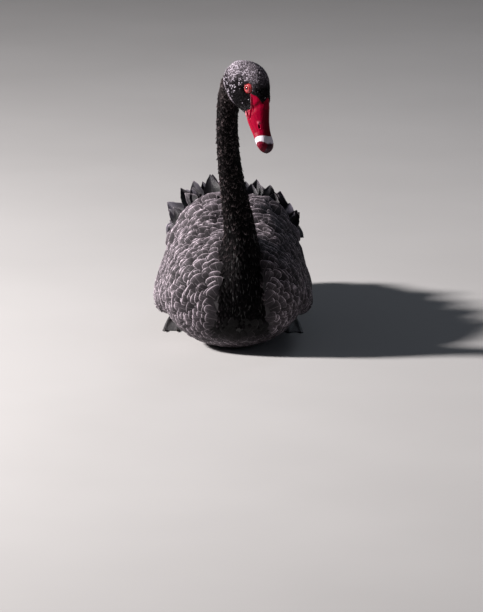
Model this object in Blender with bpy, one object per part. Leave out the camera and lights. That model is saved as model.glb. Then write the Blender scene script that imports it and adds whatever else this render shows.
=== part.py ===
"""A black swan, life size, in the pose it swims in, set down on its belly: neck up, bill lowered.

The bird faces -Y, its left side is +X, and the floor is z = 0. The origin is the middle of the flat
under the belly. Sizes are metres. Flesh is lofted from a few stations and parted with thin cuts.
"""

from math import cos, pi, radians, sin, sqrt

import bmesh
import bpy
import numpy as np
from mathutils import Euler, Matrix, Vector

# The gap between neighbouring solids.
GAP = 0.0003
# A cutter is its neighbour grown by a little more than the gap, because both are faceted.
CUTTER_GROWTH = 1.4 * GAP

# Trunk stations, nose of the breast to the rump: y, lowest z, highest z, half width.
# The lowest z dips under the floor, and the flat of the belly is where the floor cuts it.
TRUNK_STATIONS = (
    (-0.234, 0.052, 0.120, 0.042),
    (-0.220, 0.026, 0.146, 0.078),
    (-0.195, 0.008, 0.172, 0.101),
    (-0.150, -0.003, 0.186, 0.112),
    (-0.080, -0.006, 0.190, 0.114),
    (0.000, -0.006, 0.188, 0.112),
    (0.080, -0.003, 0.177, 0.099),
    (0.145, 0.012, 0.163, 0.079),
    (0.205, 0.042, 0.149, 0.054),
    (0.250, 0.072, 0.136, 0.033),
)
TRUNK_NOSE = (0.0, -0.240, 0.084)
TRUNK_END = (0.0, 0.268, 0.108)
# The height at which the trunk is widest, where its underside is low.
WATER_LINE = 0.086
LOW_UNDERSIDE = 0.020
TRUNK_RINGS = 20
TRUNK_SIDES = 28
TRUNK_SQUARENESS = 2.05

# Folded wing stations, bend of the wing to its tip: y, centre x, centre z, half width, half height.
WING_STATIONS = (
    (-0.172, 0.080, 0.112, 0.017, 0.034),
    (-0.145, 0.070, 0.118, 0.037, 0.064),
    (-0.095, 0.059, 0.124, 0.0510, 0.086),
    (-0.030, 0.0555, 0.125, 0.0530, 0.088),
    (0.045, 0.053, 0.125, 0.0495, 0.078),
    (0.110, 0.049, 0.125, 0.0425, 0.065),
    (0.170, 0.042, 0.127, 0.0335, 0.049),
    (0.225, 0.031, 0.129, 0.0215, 0.031),
    (0.270, 0.020, 0.131, 0.0110, 0.014),
)
WING_FRONT_Y = -0.183
WING_TIP = (0.014, 0.296, 0.132)
# The wing leans in over the back: this much across for each metre up.
WING_LEAN = 0.42
WING_SQUARENESS = 2.6
HALF_VALLEY = 0.004
WING_RINGS = 16
WING_SIDES = 18

# Raised, curled feathers of one wing, in rows that run round it from the back to the side. Each has
# its root's y and the angle of its root round the wing (90 degrees on top, 0 at the side), its length
# and half width, and the way its tip points: outward, backward and up.
CURLED_ROWS = (
    (
        (-0.036, 80, 0.042, 0.0115, 0.15, 0.45, 0.90),
        (-0.030, 61, 0.040, 0.0120, 0.30, 0.45, 0.80),
        (-0.020, 47, 0.041, 0.0125, 0.45, 0.45, 0.70),
        (-0.006, 33, 0.042, 0.0125, 0.60, 0.50, 0.40),
        (0.016, 12, 0.038, 0.0115, 0.40, 0.90, 0.16),
    ),
    (
        (0.060, 22, 0.040, 0.0120, 0.45, 0.95, 0.30),
        (0.050, 46, 0.043, 0.0125, 0.35, 0.85, 0.55),
        (0.036, 80, 0.042, 0.0125, 0.10, 0.85, 0.60),
    ),
    (
        (0.098, 96, 0.044, 0.0115, -0.05, 1.00, 0.42),
        (0.110, 66, 0.046, 0.0120, 0.15, 1.00, 0.42),
        (0.124, 34, 0.044, 0.0115, 0.35, 1.00, 0.28),
    ),
    (
        (0.182, 50, 0.046, 0.0110, 0.20, 1.00, 0.26),
        (0.168, 88, 0.048, 0.0110, 0.05, 1.00, 0.32),
    ),
)
# The right wing's curled feathers stand higher than the left's.
FRILL_SCALE = {1: 0.84, -1: 1.0}
# Those rooted above this angle lean out less on the left wing than on the right.
LOW_ROOT = 20
FRILL_LEAN = {1: 0.35, -1: 1.0}
# How finely the wing's surface is read, to place the feathers on it: rows, step along y, degrees round.
SURFACE_ROWS = 120
SURFACE_STEP = 0.004
SURFACE_TURN = 3
# The low ridge of feather bases that links the rows.
RIDGE_HALF_WIDTH = 0.010
RIDGE_HALF_HEIGHT = 0.0045
RIDGE_LIFT = 0.0012
RIDGE_STEP = 0.020
RIDGE_SIDES = 4
SPINE_ROOTS = ((-0.044, 76), (0.020, 80), (0.090, 84), (0.178, 80))
# A curled feather: half its thickness at the base and near the tip, and how its width runs.
BLADE_BASE_HALF = 0.00128
BLADE_TIP_HALF = 0.00080
BLADE_BASE_WIDTH = 0.75
BLADE_SWELL = 0.60
BLADE_TAPER = 0.95
BLADE_TAPER_POWER = 2.2
BLADE_FIRST_LIFT = 0.45
BLADE_CURL = 0.80
FEATHER_RINGS = 5
FEATHER_SIDES = 4

# The neck: x, y, z of its middle, half width, half depth. It rises from the breast and hooks
# forward over the head's back.
NECK_STATIONS = (
    (0.0100, -0.140, 0.060, 0.0380, 0.0500),
    (0.0110, -0.180, 0.084, 0.0375, 0.0560),
    (0.0125, -0.194, 0.128, 0.0325, 0.0535),
    (0.0118, -0.198, 0.168, 0.0286, 0.0420),
    (0.0080, -0.203, 0.205, 0.0256, 0.0320),
    (0.0015, -0.216, 0.242, 0.0228, 0.0258),
    (-0.0050, -0.240, 0.285, 0.0202, 0.0220),
    (-0.0100, -0.270, 0.328, 0.0186, 0.0200),
    (-0.0124, -0.298, 0.372, 0.0177, 0.0192),
    (-0.0118, -0.319, 0.413, 0.0180, 0.0196),
    (-0.0050, -0.333, 0.446, 0.0198, 0.0214),
    (0.0055, -0.345, 0.463, 0.0212, 0.0225),
)
NECK_CUTS = (0.0, 0.46, 0.72, 1.0)
NECK_LENGTHS = ("neck_lower", "neck_middle", "neck_upper")
NECK_RINGS = 8
NECK_SIDES = 18
# Near the head the neck's broad side turns with the head, from this share of its length on.
NECK_SIDEWAYS_TURN = radians(-38)
NECK_TURN_START = 0.75
NECK_PROBE = 0.01

# The head's own frame: x along the bill, y to the bird's left, z to the crown, origin between the eyes.
HEAD_ORIGIN = (0.0290, -0.3700, 0.4480)
HEAD_PITCH = radians(50.9)
HEAD_ROLL = radians(-14.8)
HEAD_TURN = radians(-53.0)
# Head stations: x, highest z, lowest z, half width.
HEAD_STATIONS = (
    (-0.0485, 0.0030, -0.0255, 0.0168),
    (-0.0395, 0.0142, -0.0405, 0.0230),
    (-0.0240, 0.0250, -0.0460, 0.0236),
    (-0.0100, 0.0283, -0.0470, 0.0240),
    (0.0040, 0.0258, -0.0436, 0.0232),
    (0.0170, 0.0206, -0.0374, 0.0190),
    (0.0300, 0.0148, -0.0312, 0.0164),
)
HEAD_BACK = (-0.0545, 0.0, -0.0085)
# How much narrower the head is at the throat than at the cheek.
THROAT_NARROWING = 0.14
HEAD_RINGS = 12
HEAD_SIDES = 20

# Bill stations: x, height of the culmen, height of the mouth line, lowest z, half width.
BILL_STATIONS = (
    (0.0300, 0.0130, -0.0200, -0.0300, 0.0155),
    (0.0400, 0.0064, -0.0222, -0.0322, 0.0150),
    (0.0560, -0.0030, -0.0245, -0.0328, 0.0140),
    (0.0690, -0.0086, -0.0255, -0.0322, 0.0138),
    (0.0805, -0.0116, -0.0262, -0.0313, 0.0158),
    (0.0885, -0.0142, -0.0272, -0.0308, 0.0154),
    (0.0940, -0.0184, -0.0284, -0.0303, 0.0108),
)
BILL_TIP_X = 0.0970
LOWER_BILL_INSET = 0.0012
LOWER_BILL_SHORTER = 0.0030
BILL_RINGS = 10
BILL_SIDES = 16
BILL_FLAT_STEPS = 5
BILL_SQUARENESS = 2.2

EYE_RADIUS = 0.0085
EYE_PLACE = (0.0012, 0.0145, 0.0015)

# The tail fan: y, half width, thickness, middle height.
TAIL_STATIONS = (
    (0.222, 0.032, 0.0110, 0.090),
    (0.250, 0.039, 0.0085, 0.096),
    (0.280, 0.044, 0.0058, 0.101),
    (0.300, 0.041, 0.0038, 0.1035),
    (0.314, 0.024, 0.0022, 0.1050),
)
TAIL_DROOP = 0.010
TAIL_RINGS = 8
TAIL_SIDES = 20

# A leg, from under the flank to the ankle and forward along the floor: x, y, z, half width, half height.
LEG_STATIONS = (
    (0.066, 0.104, 0.046, 0.0170, 0.0150),
    (0.074, 0.136, 0.030, 0.0115, 0.0105),
    (0.080, 0.154, 0.0160, 0.0085, 0.0085),
    (0.083, 0.148, 0.0090, 0.0078, 0.0080),
    (0.086, 0.120, 0.0070, 0.0062, 0.0068),
    (0.088, 0.0745, 0.0065, 0.0064, 0.0064),
)
LEG_RINGS = 14
LEG_SIDES = 12

# A folded foot: where it starts and ends along y, its half width there, the web and the toes.
FOOT_BACK_Y = 0.0735
FOOT_FRONT_Y = -0.0480
FOOT_MIDDLE_X = 0.089
FOOT_BACK_HALF_WIDTH = 0.008
FOOT_FRONT_HALF_WIDTH = 0.024
TOE_HEIGHT = 0.0068
TOE_TIP_HEIGHT = 0.0028
TOE_HALF_WIDTH = 0.0040
# Where the toes lie across the foot, and how far the web's edge falls back between them.
TOE_PLACES = (-0.86, 0.0, 0.86)
WEB_SCALLOP = 0.005
WEB_THICKNESS = 0.0016
# The height of the foot's outer edge, as a share of the web's and toes' height there.
FOOT_RIM = 0.6
FOOT_RINGS = 7
FOOT_COLUMNS = 13
# The block under the floor, which is wider than the bird.
FLOOR_LOW = (-0.3, -0.5, -0.1)
FLOOR_HIGH = (0.3, 0.5, 0.0)


def clear_scene():
    for thing in list(bpy.data.objects):
        bpy.data.objects.remove(thing, do_unlink=True)


def material(name, colour, roughness, metallic=0.0):
    made = bpy.data.materials.new(name)
    made.use_nodes = True
    shader = made.node_tree.nodes["Principled BSDF"]
    shader.inputs["Base Color"].default_value = (*colour, 1.0)
    shader.inputs["Roughness"].default_value = roughness
    shader.inputs["Metallic"].default_value = metallic
    return made


def smooth_rows(stations, count, start=0.0, end=1.0):
    """Rows read at even steps from a smooth curve through the stations."""
    rows = np.array(stations, float)
    ahead = 2 * rows[0] - rows[1]
    behind = 2 * rows[-1] - rows[-2]
    padded = np.vstack([ahead, rows, behind])
    found = []
    for t in np.linspace(start, end, count):
        place = t * (len(rows) - 1)
        i = min(int(place), len(rows) - 2)
        u = place - i
        a, b, c, d = padded[i : i + 4]
        found.append(
            0.5 * (2 * b + (c - a) * u + (2 * a - 5 * b + 4 * c - d) * u**2 + (3 * b - a - 3 * c + d) * u**3)
        )
    return np.array(found)


def superellipse(angle, squareness):
    """A point on a unit outline that is rounder than a square and squarer than a circle."""
    power = 2 / squareness
    x = abs(cos(angle)) ** power
    z = abs(sin(angle)) ** power
    return (x if cos(angle) >= 0 else -x, z if sin(angle) >= 0 else -z)


def add_object(name, mesh, look):
    made = bpy.data.objects.new(name, mesh)
    bpy.context.scene.collection.objects.link(made)
    made.data.materials.append(look)
    return made


def add_shell(work, rings, first_tip=None, last_tip=None):
    """Adds one closed shell through rings of equal length, closed by a tip point or a flat cap."""
    rows = [[work.verts.new(point) for point in ring] for ring in rings]
    sides = len(rows[0])
    faces = []
    for near, far in zip(rows, rows[1:]):
        for i in range(sides):
            j = (i + 1) % sides
            faces.append(work.faces.new((near[i], near[j], far[j], far[i])))
    for row, tip in ((rows[0], first_tip), (rows[-1], last_tip)):
        if tip is None:
            faces.append(work.faces.new(row))
            continue
        point = work.verts.new(tip)
        for i in range(sides):
            faces.append(work.faces.new((row[i], row[(i + 1) % sides], point)))
    bmesh.ops.recalc_face_normals(work, faces=faces)


def finish_mesh(name, work, look):
    mesh = bpy.data.meshes.new(name)
    work.to_mesh(mesh)
    work.free()
    mesh.shade_smooth()
    return add_object(name, mesh, look)


def loft(name, rings, look, first_tip=None, last_tip=None):
    """One closed body through rings of equal length."""
    work = bmesh.new()
    add_shell(work, rings, first_tip, last_tip)
    return finish_mesh(name, work, look)


def as_cutter(thing):
    thing.hide_render = True
    thing.display_type = "WIRE"
    return thing


def boolean(thing, other, operation):
    change = thing.modifiers.new(f"{operation.lower()}_{other.name}", "BOOLEAN")
    change.operation = operation
    change.solver = "EXACT"
    change.object = other
    return change


def cut(thing, cutter):
    return boolean(thing, cutter, "DIFFERENCE")


def box(name, low, high):
    """A hidden block that trims what passes through it."""
    corners = [(x, y, z) for x in (low[0], high[0]) for y in (low[1], high[1]) for z in (low[2], high[2])]
    work = bmesh.new()
    bmesh.ops.convex_hull(work, input=[work.verts.new(corner) for corner in corners])
    bmesh.ops.recalc_face_normals(work, faces=work.faces)
    return as_cutter(finish_mesh(name, work, bpy.data.materials["trunk"]))


def trunk_rings(grow):
    rings = []
    for y, low, high, half in smooth_rows(TRUNK_STATIONS, TRUNK_RINGS):
        middle = (low + high) / 2 if low > LOW_UNDERSIDE else WATER_LINE
        ring = []
        for i in range(TRUNK_SIDES):
            x, z = superellipse(2 * pi * i / TRUNK_SIDES, TRUNK_SQUARENESS)
            reach = (high - middle) if z > 0 else (middle - low)
            ring.append((x * (half + grow), y, middle + z * (reach + grow)))
        rings.append(ring)
    return rings


def add_trunk(name, look, grow=0.0):
    front = Vector(TRUNK_NOSE) - Vector((0.0, grow, 0.0))
    back = Vector(TRUNK_END) + Vector((0.0, grow, 0.0))
    return loft(name, trunk_rings(grow), look, front, back)


def wing_outline(row, angle, side, grow=0.0):
    """A point of the wing's outline across the body: a squarish round that leans in over the back."""
    y, x_middle, z_middle, half_width, half_height = row
    x, z = superellipse(angle, WING_SQUARENESS)
    rise = z * (half_height + grow)
    across = x_middle + x * (half_width + grow) - WING_LEAN * rise
    return Vector((side * max(across, HALF_VALLEY - grow), y, z_middle + rise))


def wing_rings(side, grow):
    rings = []
    for row in smooth_rows(WING_STATIONS, WING_RINGS):
        rings.append([wing_outline(row, 2 * pi * i / WING_SIDES, side, grow) for i in range(WING_SIDES)])
    return rings


def add_wing(name, side, look, grow=0.0):
    x, y, z = WING_TIP
    front = (side * WING_STATIONS[0][1], WING_FRONT_Y - grow, WING_STATIONS[0][2])
    return loft(name, wing_rings(side, grow), look, front, (side * x, y + grow, z))


def wing_surface(y, degrees, side):
    """The point of the wing's skin at this y and angle, and the way straight out of it."""
    rows = smooth_rows(WING_STATIONS, SURFACE_ROWS)
    here = [np.interp(y, rows[:, 0], column) for column in rows.T]
    behind = [np.interp(y + SURFACE_STEP, rows[:, 0], column) for column in rows.T]
    point = wing_outline(here, radians(degrees), side)
    around = wing_outline(here, radians(degrees + SURFACE_TURN), side) - point
    along = wing_outline(behind, radians(degrees), side) - point
    return point, along.cross(around).normalized() * -side


def add_curled_feather(work, side, root, length, half_width, way):
    """A thin pointed blade that leaves its root along the body and curls up and over."""
    way = Vector((side * way[0], way[1], way[2])).normalized()
    along = Vector((0.0, 1.0, 0.0))
    across = along.cross(way).normalized()
    rings = []
    middle = root.copy()
    step = length / (FEATHER_RINGS - 1)
    for i in range(FEATHER_RINGS):
        t = i / (FEATHER_RINGS - 1)
        heading = along.lerp(way, min(1.0, BLADE_FIRST_LIFT + BLADE_CURL * t)).normalized()
        face = across.cross(heading).normalized()
        width = half_width * (BLADE_BASE_WIDTH + BLADE_SWELL * t - BLADE_TAPER * t**BLADE_TAPER_POWER)
        thick = BLADE_TIP_HALF if t > 0.5 else BLADE_BASE_HALF
        ring = []
        for j in range(FEATHER_SIDES):
            angle = 2 * pi * j / FEATHER_SIDES
            ring.append(middle + across * (width * cos(angle)) + face * (thick * sin(angle)))
        rings.append(ring)
        middle = middle + heading * step
    add_shell(work, rings, None, middle)


def add_ridge(work, side, roots):
    """A low ridge of feather bases through these roots."""
    ends = [wing_surface(y, degrees, side)[0] for y, degrees in roots]
    reach = sum((b - a).length for a, b in zip(ends, ends[1:]))
    count = max(3, round(reach / RIDGE_STEP))
    path = [wing_surface(y, degrees, side) for y, degrees in smooth_rows(roots, count)]
    rings = []
    for i, (point, outward) in enumerate(path):
        along = (path[min(i + 1, count - 1)][0] - path[max(i - 1, 0)][0]).normalized()
        across = along.cross(outward).normalized()
        ring = []
        for j in range(RIDGE_SIDES):
            angle = 2 * pi * j / RIDGE_SIDES
            wide = across * (RIDGE_HALF_WIDTH * cos(angle))
            ring.append(point + wide + outward * (RIDGE_LIFT + RIDGE_HALF_HEIGHT * sin(angle)))
        rings.append(ring)
    add_shell(work, rings)


def add_frill(name, side, look, cutters):
    """Ridges with their curled feathers, all one body, resting on the wing and the back."""
    work = bmesh.new()
    add_ridge(work, side, SPINE_ROOTS)
    for row in CURLED_ROWS:
        add_ridge(work, side, [feather[:2] for feather in row])
        for y, degrees, length, half_width, out, back, up in row:
            root = wing_surface(y, degrees, side)[0]
            lean = FRILL_LEAN[side] if degrees > LOW_ROOT else 1.0
            way = (out * lean, back, up)
            add_curled_feather(work, side, root, length * FRILL_SCALE[side], half_width, way)
    frill = finish_mesh(name, work, look)
    for cutter in cutters:
        cut(frill, cutter).use_self = True
    return frill


def neck_frames(start, end, count):
    """Middle, half width, half depth, and the two directions across the neck."""
    rows = smooth_rows(NECK_STATIONS, count, start, end)
    frames = []
    for i, t in enumerate(np.linspace(start, end, count)):
        before, after = smooth_rows(NECK_STATIONS, 2, max(t - NECK_PROBE, 0), min(t + NECK_PROBE, 1))
        tangent = Vector(after[:3] - before[:3]).normalized()
        turn = NECK_SIDEWAYS_TURN * max(0.0, (t - NECK_TURN_START) / (1 - NECK_TURN_START))
        sideways = Matrix.Rotation(turn, 3, "Z") @ Vector((1.0, 0.0, 0.0))
        front = tangent.cross(sideways).normalized()
        sideways = front.cross(tangent).normalized()
        frames.append((Vector(rows[i][:3]), rows[i][3], rows[i][4], sideways, front, tangent))
    return frames


def add_neck_length(name, start, end, look):
    frames = neck_frames(start, end, NECK_RINGS)
    rings = []
    for k, (middle, half_width, half_depth, sideways, front, tangent) in enumerate(frames):
        if k == 0 and start > 0:
            middle = middle + tangent * (GAP / 2)
        if k == len(frames) - 1 and end < 1:
            middle = middle - tangent * (GAP / 2)
        ring = []
        for i in range(NECK_SIDES):
            angle = 2 * pi * i / NECK_SIDES
            ring.append(middle + sideways * (half_width * cos(angle)) + front * (half_depth * sin(angle)))
        rings.append(ring)
    return loft(name, rings, look)


def head_rings(grow):
    rings = []
    for x, high, low, half in smooth_rows(HEAD_STATIONS, HEAD_RINGS):
        middle = (high + low) / 2
        reach = (high - low) / 2 + grow
        ring = []
        for i in range(HEAD_SIDES):
            angle = 2 * pi * i / HEAD_SIDES
            narrow = 1.0 - THROAT_NARROWING * max(0.0, -sin(angle)) ** 2
            ring.append((x, cos(angle) * (half + grow) * narrow, middle + sin(angle) * reach))
        rings.append(ring)
    return rings


def add_head(name, frame, look, grow=0.0):
    back = Vector(HEAD_BACK) - Vector((grow, 0.0, 0.0))
    head = loft(name, head_rings(grow), look, back, None)
    head.parent = frame
    return head


def add_eye(name, side, frame, look, grow=0.0):
    work = bmesh.new()
    bmesh.ops.create_uvsphere(work, u_segments=12, v_segments=8, radius=EYE_RADIUS + grow)
    eye = finish_mesh(name, work, look)
    eye.parent = frame
    eye.location = (EYE_PLACE[0], side * EYE_PLACE[1], EYE_PLACE[2])
    eye.rotation_euler = Euler((radians(-90 * side), 0, 0))
    return eye


def bill_rings(upper):
    """Half rings: a dome over the mouth line, or a shallow keel under it."""
    base_x = BILL_STATIONS[0][0]
    rings = []
    for x, top, mouth, bottom, half in smooth_rows(BILL_STATIONS, BILL_RINGS):
        if upper:
            base = mouth + GAP / 2
            reach = top - base
            width = half
        else:
            base = mouth - GAP / 2
            reach = bottom - base
            width = half - LOWER_BILL_INSET
            x = base_x + (x - base_x) * (1 - LOWER_BILL_SHORTER / (BILL_TIP_X - base_x))
        ring = []
        arc = BILL_SIDES - BILL_FLAT_STEPS
        for i in range(arc + 1):
            y, z = superellipse(pi * i / arc, BILL_SQUARENESS)
            ring.append((x + GAP, y * width, base + z * reach))
        for i in range(1, BILL_FLAT_STEPS):
            ring.append((x + GAP, -width + 2 * width * i / BILL_FLAT_STEPS, base))
        rings.append(ring)
    return rings


def add_bill(name, upper, frame, look):
    rings = bill_rings(upper)
    last = BILL_STATIONS[-1]
    if upper:
        tip = (BILL_TIP_X, 0.0, last[2] + GAP)
    else:
        tip = (BILL_TIP_X - LOWER_BILL_SHORTER, 0.0, last[2] - 2 * GAP)
    bill = loft(name, rings, look, None, tip)
    bill.parent = frame
    return bill


def add_tail(name, look):
    rings = []
    for y, half, thick, middle in smooth_rows(TAIL_STATIONS, TAIL_RINGS):
        ring = []
        for i in range(TAIL_SIDES):
            angle = 2 * pi * i / TAIL_SIDES
            x, z = cos(angle), sin(angle)
            ring.append((x * half, y, middle + z * thick - TAIL_DROOP * x * x))
        rings.append(ring)
    return loft(name, rings, look)


def add_leg(name, side, look):
    rows = smooth_rows(LEG_STATIONS, LEG_RINGS)
    rings = []
    for i, (x, y, z, half_width, half_height) in enumerate(rows):
        before = rows[max(i - 1, 0)][:3]
        after = rows[min(i + 1, len(rows) - 1)][:3]
        tangent = Vector(after - before).normalized()
        sideways = Vector((1.0, 0.0, 0.0))
        upward = sideways.cross(tangent).normalized()
        sideways = tangent.cross(upward).normalized()
        ring = []
        for j in range(LEG_SIDES):
            angle = 2 * pi * j / LEG_SIDES
            across = sideways * (half_width * cos(angle))
            point = Vector((x, y, z)) + across + upward * (half_height * sin(angle))
            ring.append((side * point.x, point.y, point.z))
        rings.append(ring)
    return loft(name, rings, look)


def foot_height(t, across):
    """Height of the top of the foot: three toes with a web between them. t runs from heel to tips."""
    height = WEB_THICKNESS
    spread = FOOT_BACK_HALF_WIDTH + (FOOT_FRONT_HALF_WIDTH - FOOT_BACK_HALF_WIDTH) * t
    toe_top = TOE_HEIGHT + (TOE_TIP_HEIGHT - TOE_HEIGHT) * t
    for toe in TOE_PLACES:
        offset = (across - toe) * spread / TOE_HALF_WIDTH
        height = max(height, WEB_THICKNESS + (toe_top - WEB_THICKNESS) * max(0.0, 1 - offset**2))
    return height


def add_foot(name, side, look):
    """The foot lies flat on the floor: its under side is level, and its front edge is scalloped."""
    rings = []
    for k in range(FOOT_RINGS):
        t = k / (FOOT_RINGS - 1)
        half = FOOT_BACK_HALF_WIDTH + (FOOT_FRONT_HALF_WIDTH - FOOT_BACK_HALF_WIDTH) * sqrt(t)
        top = []
        bottom = []
        for i in range(FOOT_COLUMNS):
            across = 2 * i / (FOOT_COLUMNS - 1) - 1
            scallop = WEB_SCALLOP * t**3 * (1 - cos(2 * pi * abs(across) / TOE_PLACES[-1]))
            y = FOOT_BACK_Y + (FOOT_FRONT_Y - FOOT_BACK_Y) * t + scallop
            x = side * (FOOT_MIDDLE_X + across * half)
            rim = FOOT_RIM if i in (0, FOOT_COLUMNS - 1) else 1.0
            top.append((x, y, foot_height(t, across) * rim))
            bottom.append((x, y, 0.0))
        rings.append(top + bottom[::-1])
    return loft(name, rings, look)


def belly_floor():
    """The block under the floor that leaves the flat of the belly and of the legs."""
    return box("below_floor", FLOOR_LOW, FLOOR_HIGH)


def build():
    clear_scene()
    looks = {
        "trunk": material("trunk", (0.030, 0.027, 0.028), 0.75),
        "wing": material("wing", (0.048, 0.043, 0.045), 0.75),
        "frill": material("frill", (0.060, 0.058, 0.062), 0.70),
        "neck": material("neck", (0.014, 0.012, 0.013), 0.80),
        "head": material("head", (0.050, 0.046, 0.048), 0.80),
        "bill": material("bill", (0.520, 0.008, 0.020), 0.35),
        "lower_bill": material("lower_bill", (0.450, 0.010, 0.018), 0.40),
        "eye": material("eye", (0.480, 0.030, 0.020), 0.08),
        "tail": material("tail", (0.028, 0.026, 0.027), 0.75),
        "leg": material("leg", (0.040, 0.038, 0.036), 0.55),
        "foot": material("foot", (0.035, 0.033, 0.032), 0.55),
    }
    floor = belly_floor()
    trunk = add_trunk("trunk", looks["trunk"])
    cut(trunk, floor)
    near_trunk = as_cutter(add_trunk("near_trunk", looks["trunk"], CUTTER_GROWTH))

    tail = add_tail("tail", looks["tail"])
    cut(tail, near_trunk)

    frame = bpy.data.objects.new("head_frame", None)
    bpy.context.scene.collection.objects.link(frame)
    frame.location = HEAD_ORIGIN
    frame.rotation_euler = Euler((HEAD_ROLL, HEAD_PITCH, HEAD_TURN), "XYZ")
    head = add_head("head", frame, looks["head"])
    near_head = as_cutter(add_head("near_head", frame, looks["head"], CUTTER_GROWTH))
    add_bill("bill_upper", True, frame, looks["bill"])
    add_bill("bill_lower", False, frame, looks["lower_bill"])

    wings = {}
    for side, word in ((1, "left"), (-1, "right")):
        wing = add_wing(f"wing_{word}", side, looks["wing"])
        near_wing = as_cutter(add_wing(f"near_wing_{word}", side, looks["wing"], CUTTER_GROWTH))
        cut(wing, near_trunk)
        wings[word] = near_wing
        cut(tail, near_wing)
        around = (near_trunk, near_wing)
        add_frill(f"frill_{word}", side, looks["frill"], around)
        eye = add_eye(f"eye_{word}", side, frame, looks["eye"])
        socket = as_cutter(add_eye(f"socket_{word}", side, frame, looks["eye"], CUTTER_GROWTH))
        cut(head, socket)
        leg = add_leg(f"leg_{word}", side, looks["leg"])
        cut(leg, near_trunk)
        cut(leg, floor)
        add_foot(f"foot_{word}", side, looks["foot"])

    for name, start, end in zip(NECK_LENGTHS, NECK_CUTS, NECK_CUTS[1:]):
        length = add_neck_length(name, start, end, looks["neck"])
        if start == 0.0:
            cut(length, near_trunk)
            cut(length, wings["left"])
            cut(length, wings["right"])
        if end == 1.0:
            cut(length, near_head)


build()
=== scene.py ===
"""Looks of the black swan: one skin under overlapping feathers, with the bill, eyes, legs and feet.

Lengths are in metres. The bird faces -Y and its left is +X. Places on the head are given in
the head's own directions: x along the bill, y to the bird's left, z to the crown.
"""

from math import cos, pi, radians, sin, sqrt

import bmesh
import bpy
import numpy as np
from mathutils import Euler, Matrix, Vector
from mathutils.bvhtree import BVHTree


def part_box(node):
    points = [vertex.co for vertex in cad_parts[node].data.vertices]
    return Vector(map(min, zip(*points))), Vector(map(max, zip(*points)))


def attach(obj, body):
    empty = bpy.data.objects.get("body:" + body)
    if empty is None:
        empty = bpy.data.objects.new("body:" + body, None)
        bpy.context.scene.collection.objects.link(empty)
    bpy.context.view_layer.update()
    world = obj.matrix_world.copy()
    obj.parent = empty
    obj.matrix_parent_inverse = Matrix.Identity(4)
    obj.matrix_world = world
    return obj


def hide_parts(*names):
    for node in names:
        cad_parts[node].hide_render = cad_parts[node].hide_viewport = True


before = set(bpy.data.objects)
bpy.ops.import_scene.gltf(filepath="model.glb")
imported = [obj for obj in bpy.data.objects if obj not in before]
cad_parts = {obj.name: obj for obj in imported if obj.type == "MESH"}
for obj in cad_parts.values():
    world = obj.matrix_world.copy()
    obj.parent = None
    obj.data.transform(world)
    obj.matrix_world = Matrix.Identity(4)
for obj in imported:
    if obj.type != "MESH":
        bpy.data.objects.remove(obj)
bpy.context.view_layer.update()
RANDOM = np.random.default_rng(20)
SIDES = {"left": 1, "right": -1}

# The camera, which stands far off and looks a little down, with a slight roll.
CAMERA_PLACE = (0.0132, -7.8306, 1.6978)
CAMERA_DOWN = radians(12.0)
CAMERA_ROLL = radians(0.8)
CAMERA_LENS = 294.1

# The head: where it is and how it is turned.
HEAD_PLACE = Vector((0.0290, -0.3700, 0.4480))
HEAD_TURN = Euler((radians(-14.8), radians(50.9), radians(-53.0)), "XYZ")
HEAD_AXES = np.array(HEAD_TURN.to_matrix())
# The oval seen from the side that parts the head from the neck.
HEAD_OVAL_MIDDLE = (-0.005, 0.0, -0.010)
HEAD_OVAL_BACK = 0.0500
HEAD_OVAL_FRONT = 0.0650
HEAD_OVAL_UP = 0.0500
HEAD_OVAL_DOWN = 0.0300
FOLD_HEIGHT = 0.0013
HEAD_REACH = 0.060

# The line through the neck, from inside the breast up to the head: x, y, z, mean half width.
NECK_LINE = (
    (0.0110, -0.180, 0.084, 0.0465),
    (0.0125, -0.194, 0.128, 0.0430),
    (0.0118, -0.198, 0.168, 0.0353),
    (0.0080, -0.203, 0.205, 0.0288),
    (0.0015, -0.216, 0.242, 0.0243),
    (-0.0050, -0.240, 0.285, 0.0211),
    (-0.0100, -0.270, 0.328, 0.0193),
    (-0.0124, -0.298, 0.372, 0.0185),
    (-0.0118, -0.319, 0.413, 0.0188),
    (-0.0050, -0.333, 0.446, 0.0206),
    (0.0055, -0.345, 0.463, 0.0219),
)

# The wing's outline: y, middle x and z, half width, half height.
WING_STATIONS = (
    (-0.172, 0.080, 0.112, 0.0170, 0.034),
    (-0.095, 0.059, 0.124, 0.0510, 0.086),
    (-0.030, 0.0555, 0.125, 0.0530, 0.088),
    (0.045, 0.053, 0.125, 0.0495, 0.078),
    (0.110, 0.049, 0.125, 0.0425, 0.065),
    (0.170, 0.042, 0.127, 0.0335, 0.049),
    (0.225, 0.031, 0.129, 0.0215, 0.031),
    (0.270, 0.020, 0.131, 0.0110, 0.014),
)
WING_LEAN = 0.42
WING_SQUARENESS = 2.6
HALF_VALLEY = 0.004

# The three layers of long feathers on a folded wing: how many, then for each number its value at the first
# feather and its change to the last. The numbers are root y, root degrees, tip y, tip degrees and half
# width. Last comes how high the tips lie over the skin.
FLIGHT_LAYERS = (
    (9, (-0.02, 0.13), (-44, 20), (0.150, 0.125), (-30, 25), (0.0125, -0.0030), 0.0052),
    (9, (0.00, 0.13), (-16, 22), (0.130, 0.145), (-4, 20), (0.0135, -0.0035), 0.0066),
    (7, (0.04, 0.12), (22, 14), (0.150, 0.130), (30, 20), (0.0135, -0.0035), 0.0080),
)
# The white outer quills: how many, root y and length along y, and degrees round the wing.
WHITE_QUILLS = 4
WHITE_START = 0.150
WHITE_RUN = 0.122
WHITE_DEGREES = -58
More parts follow.
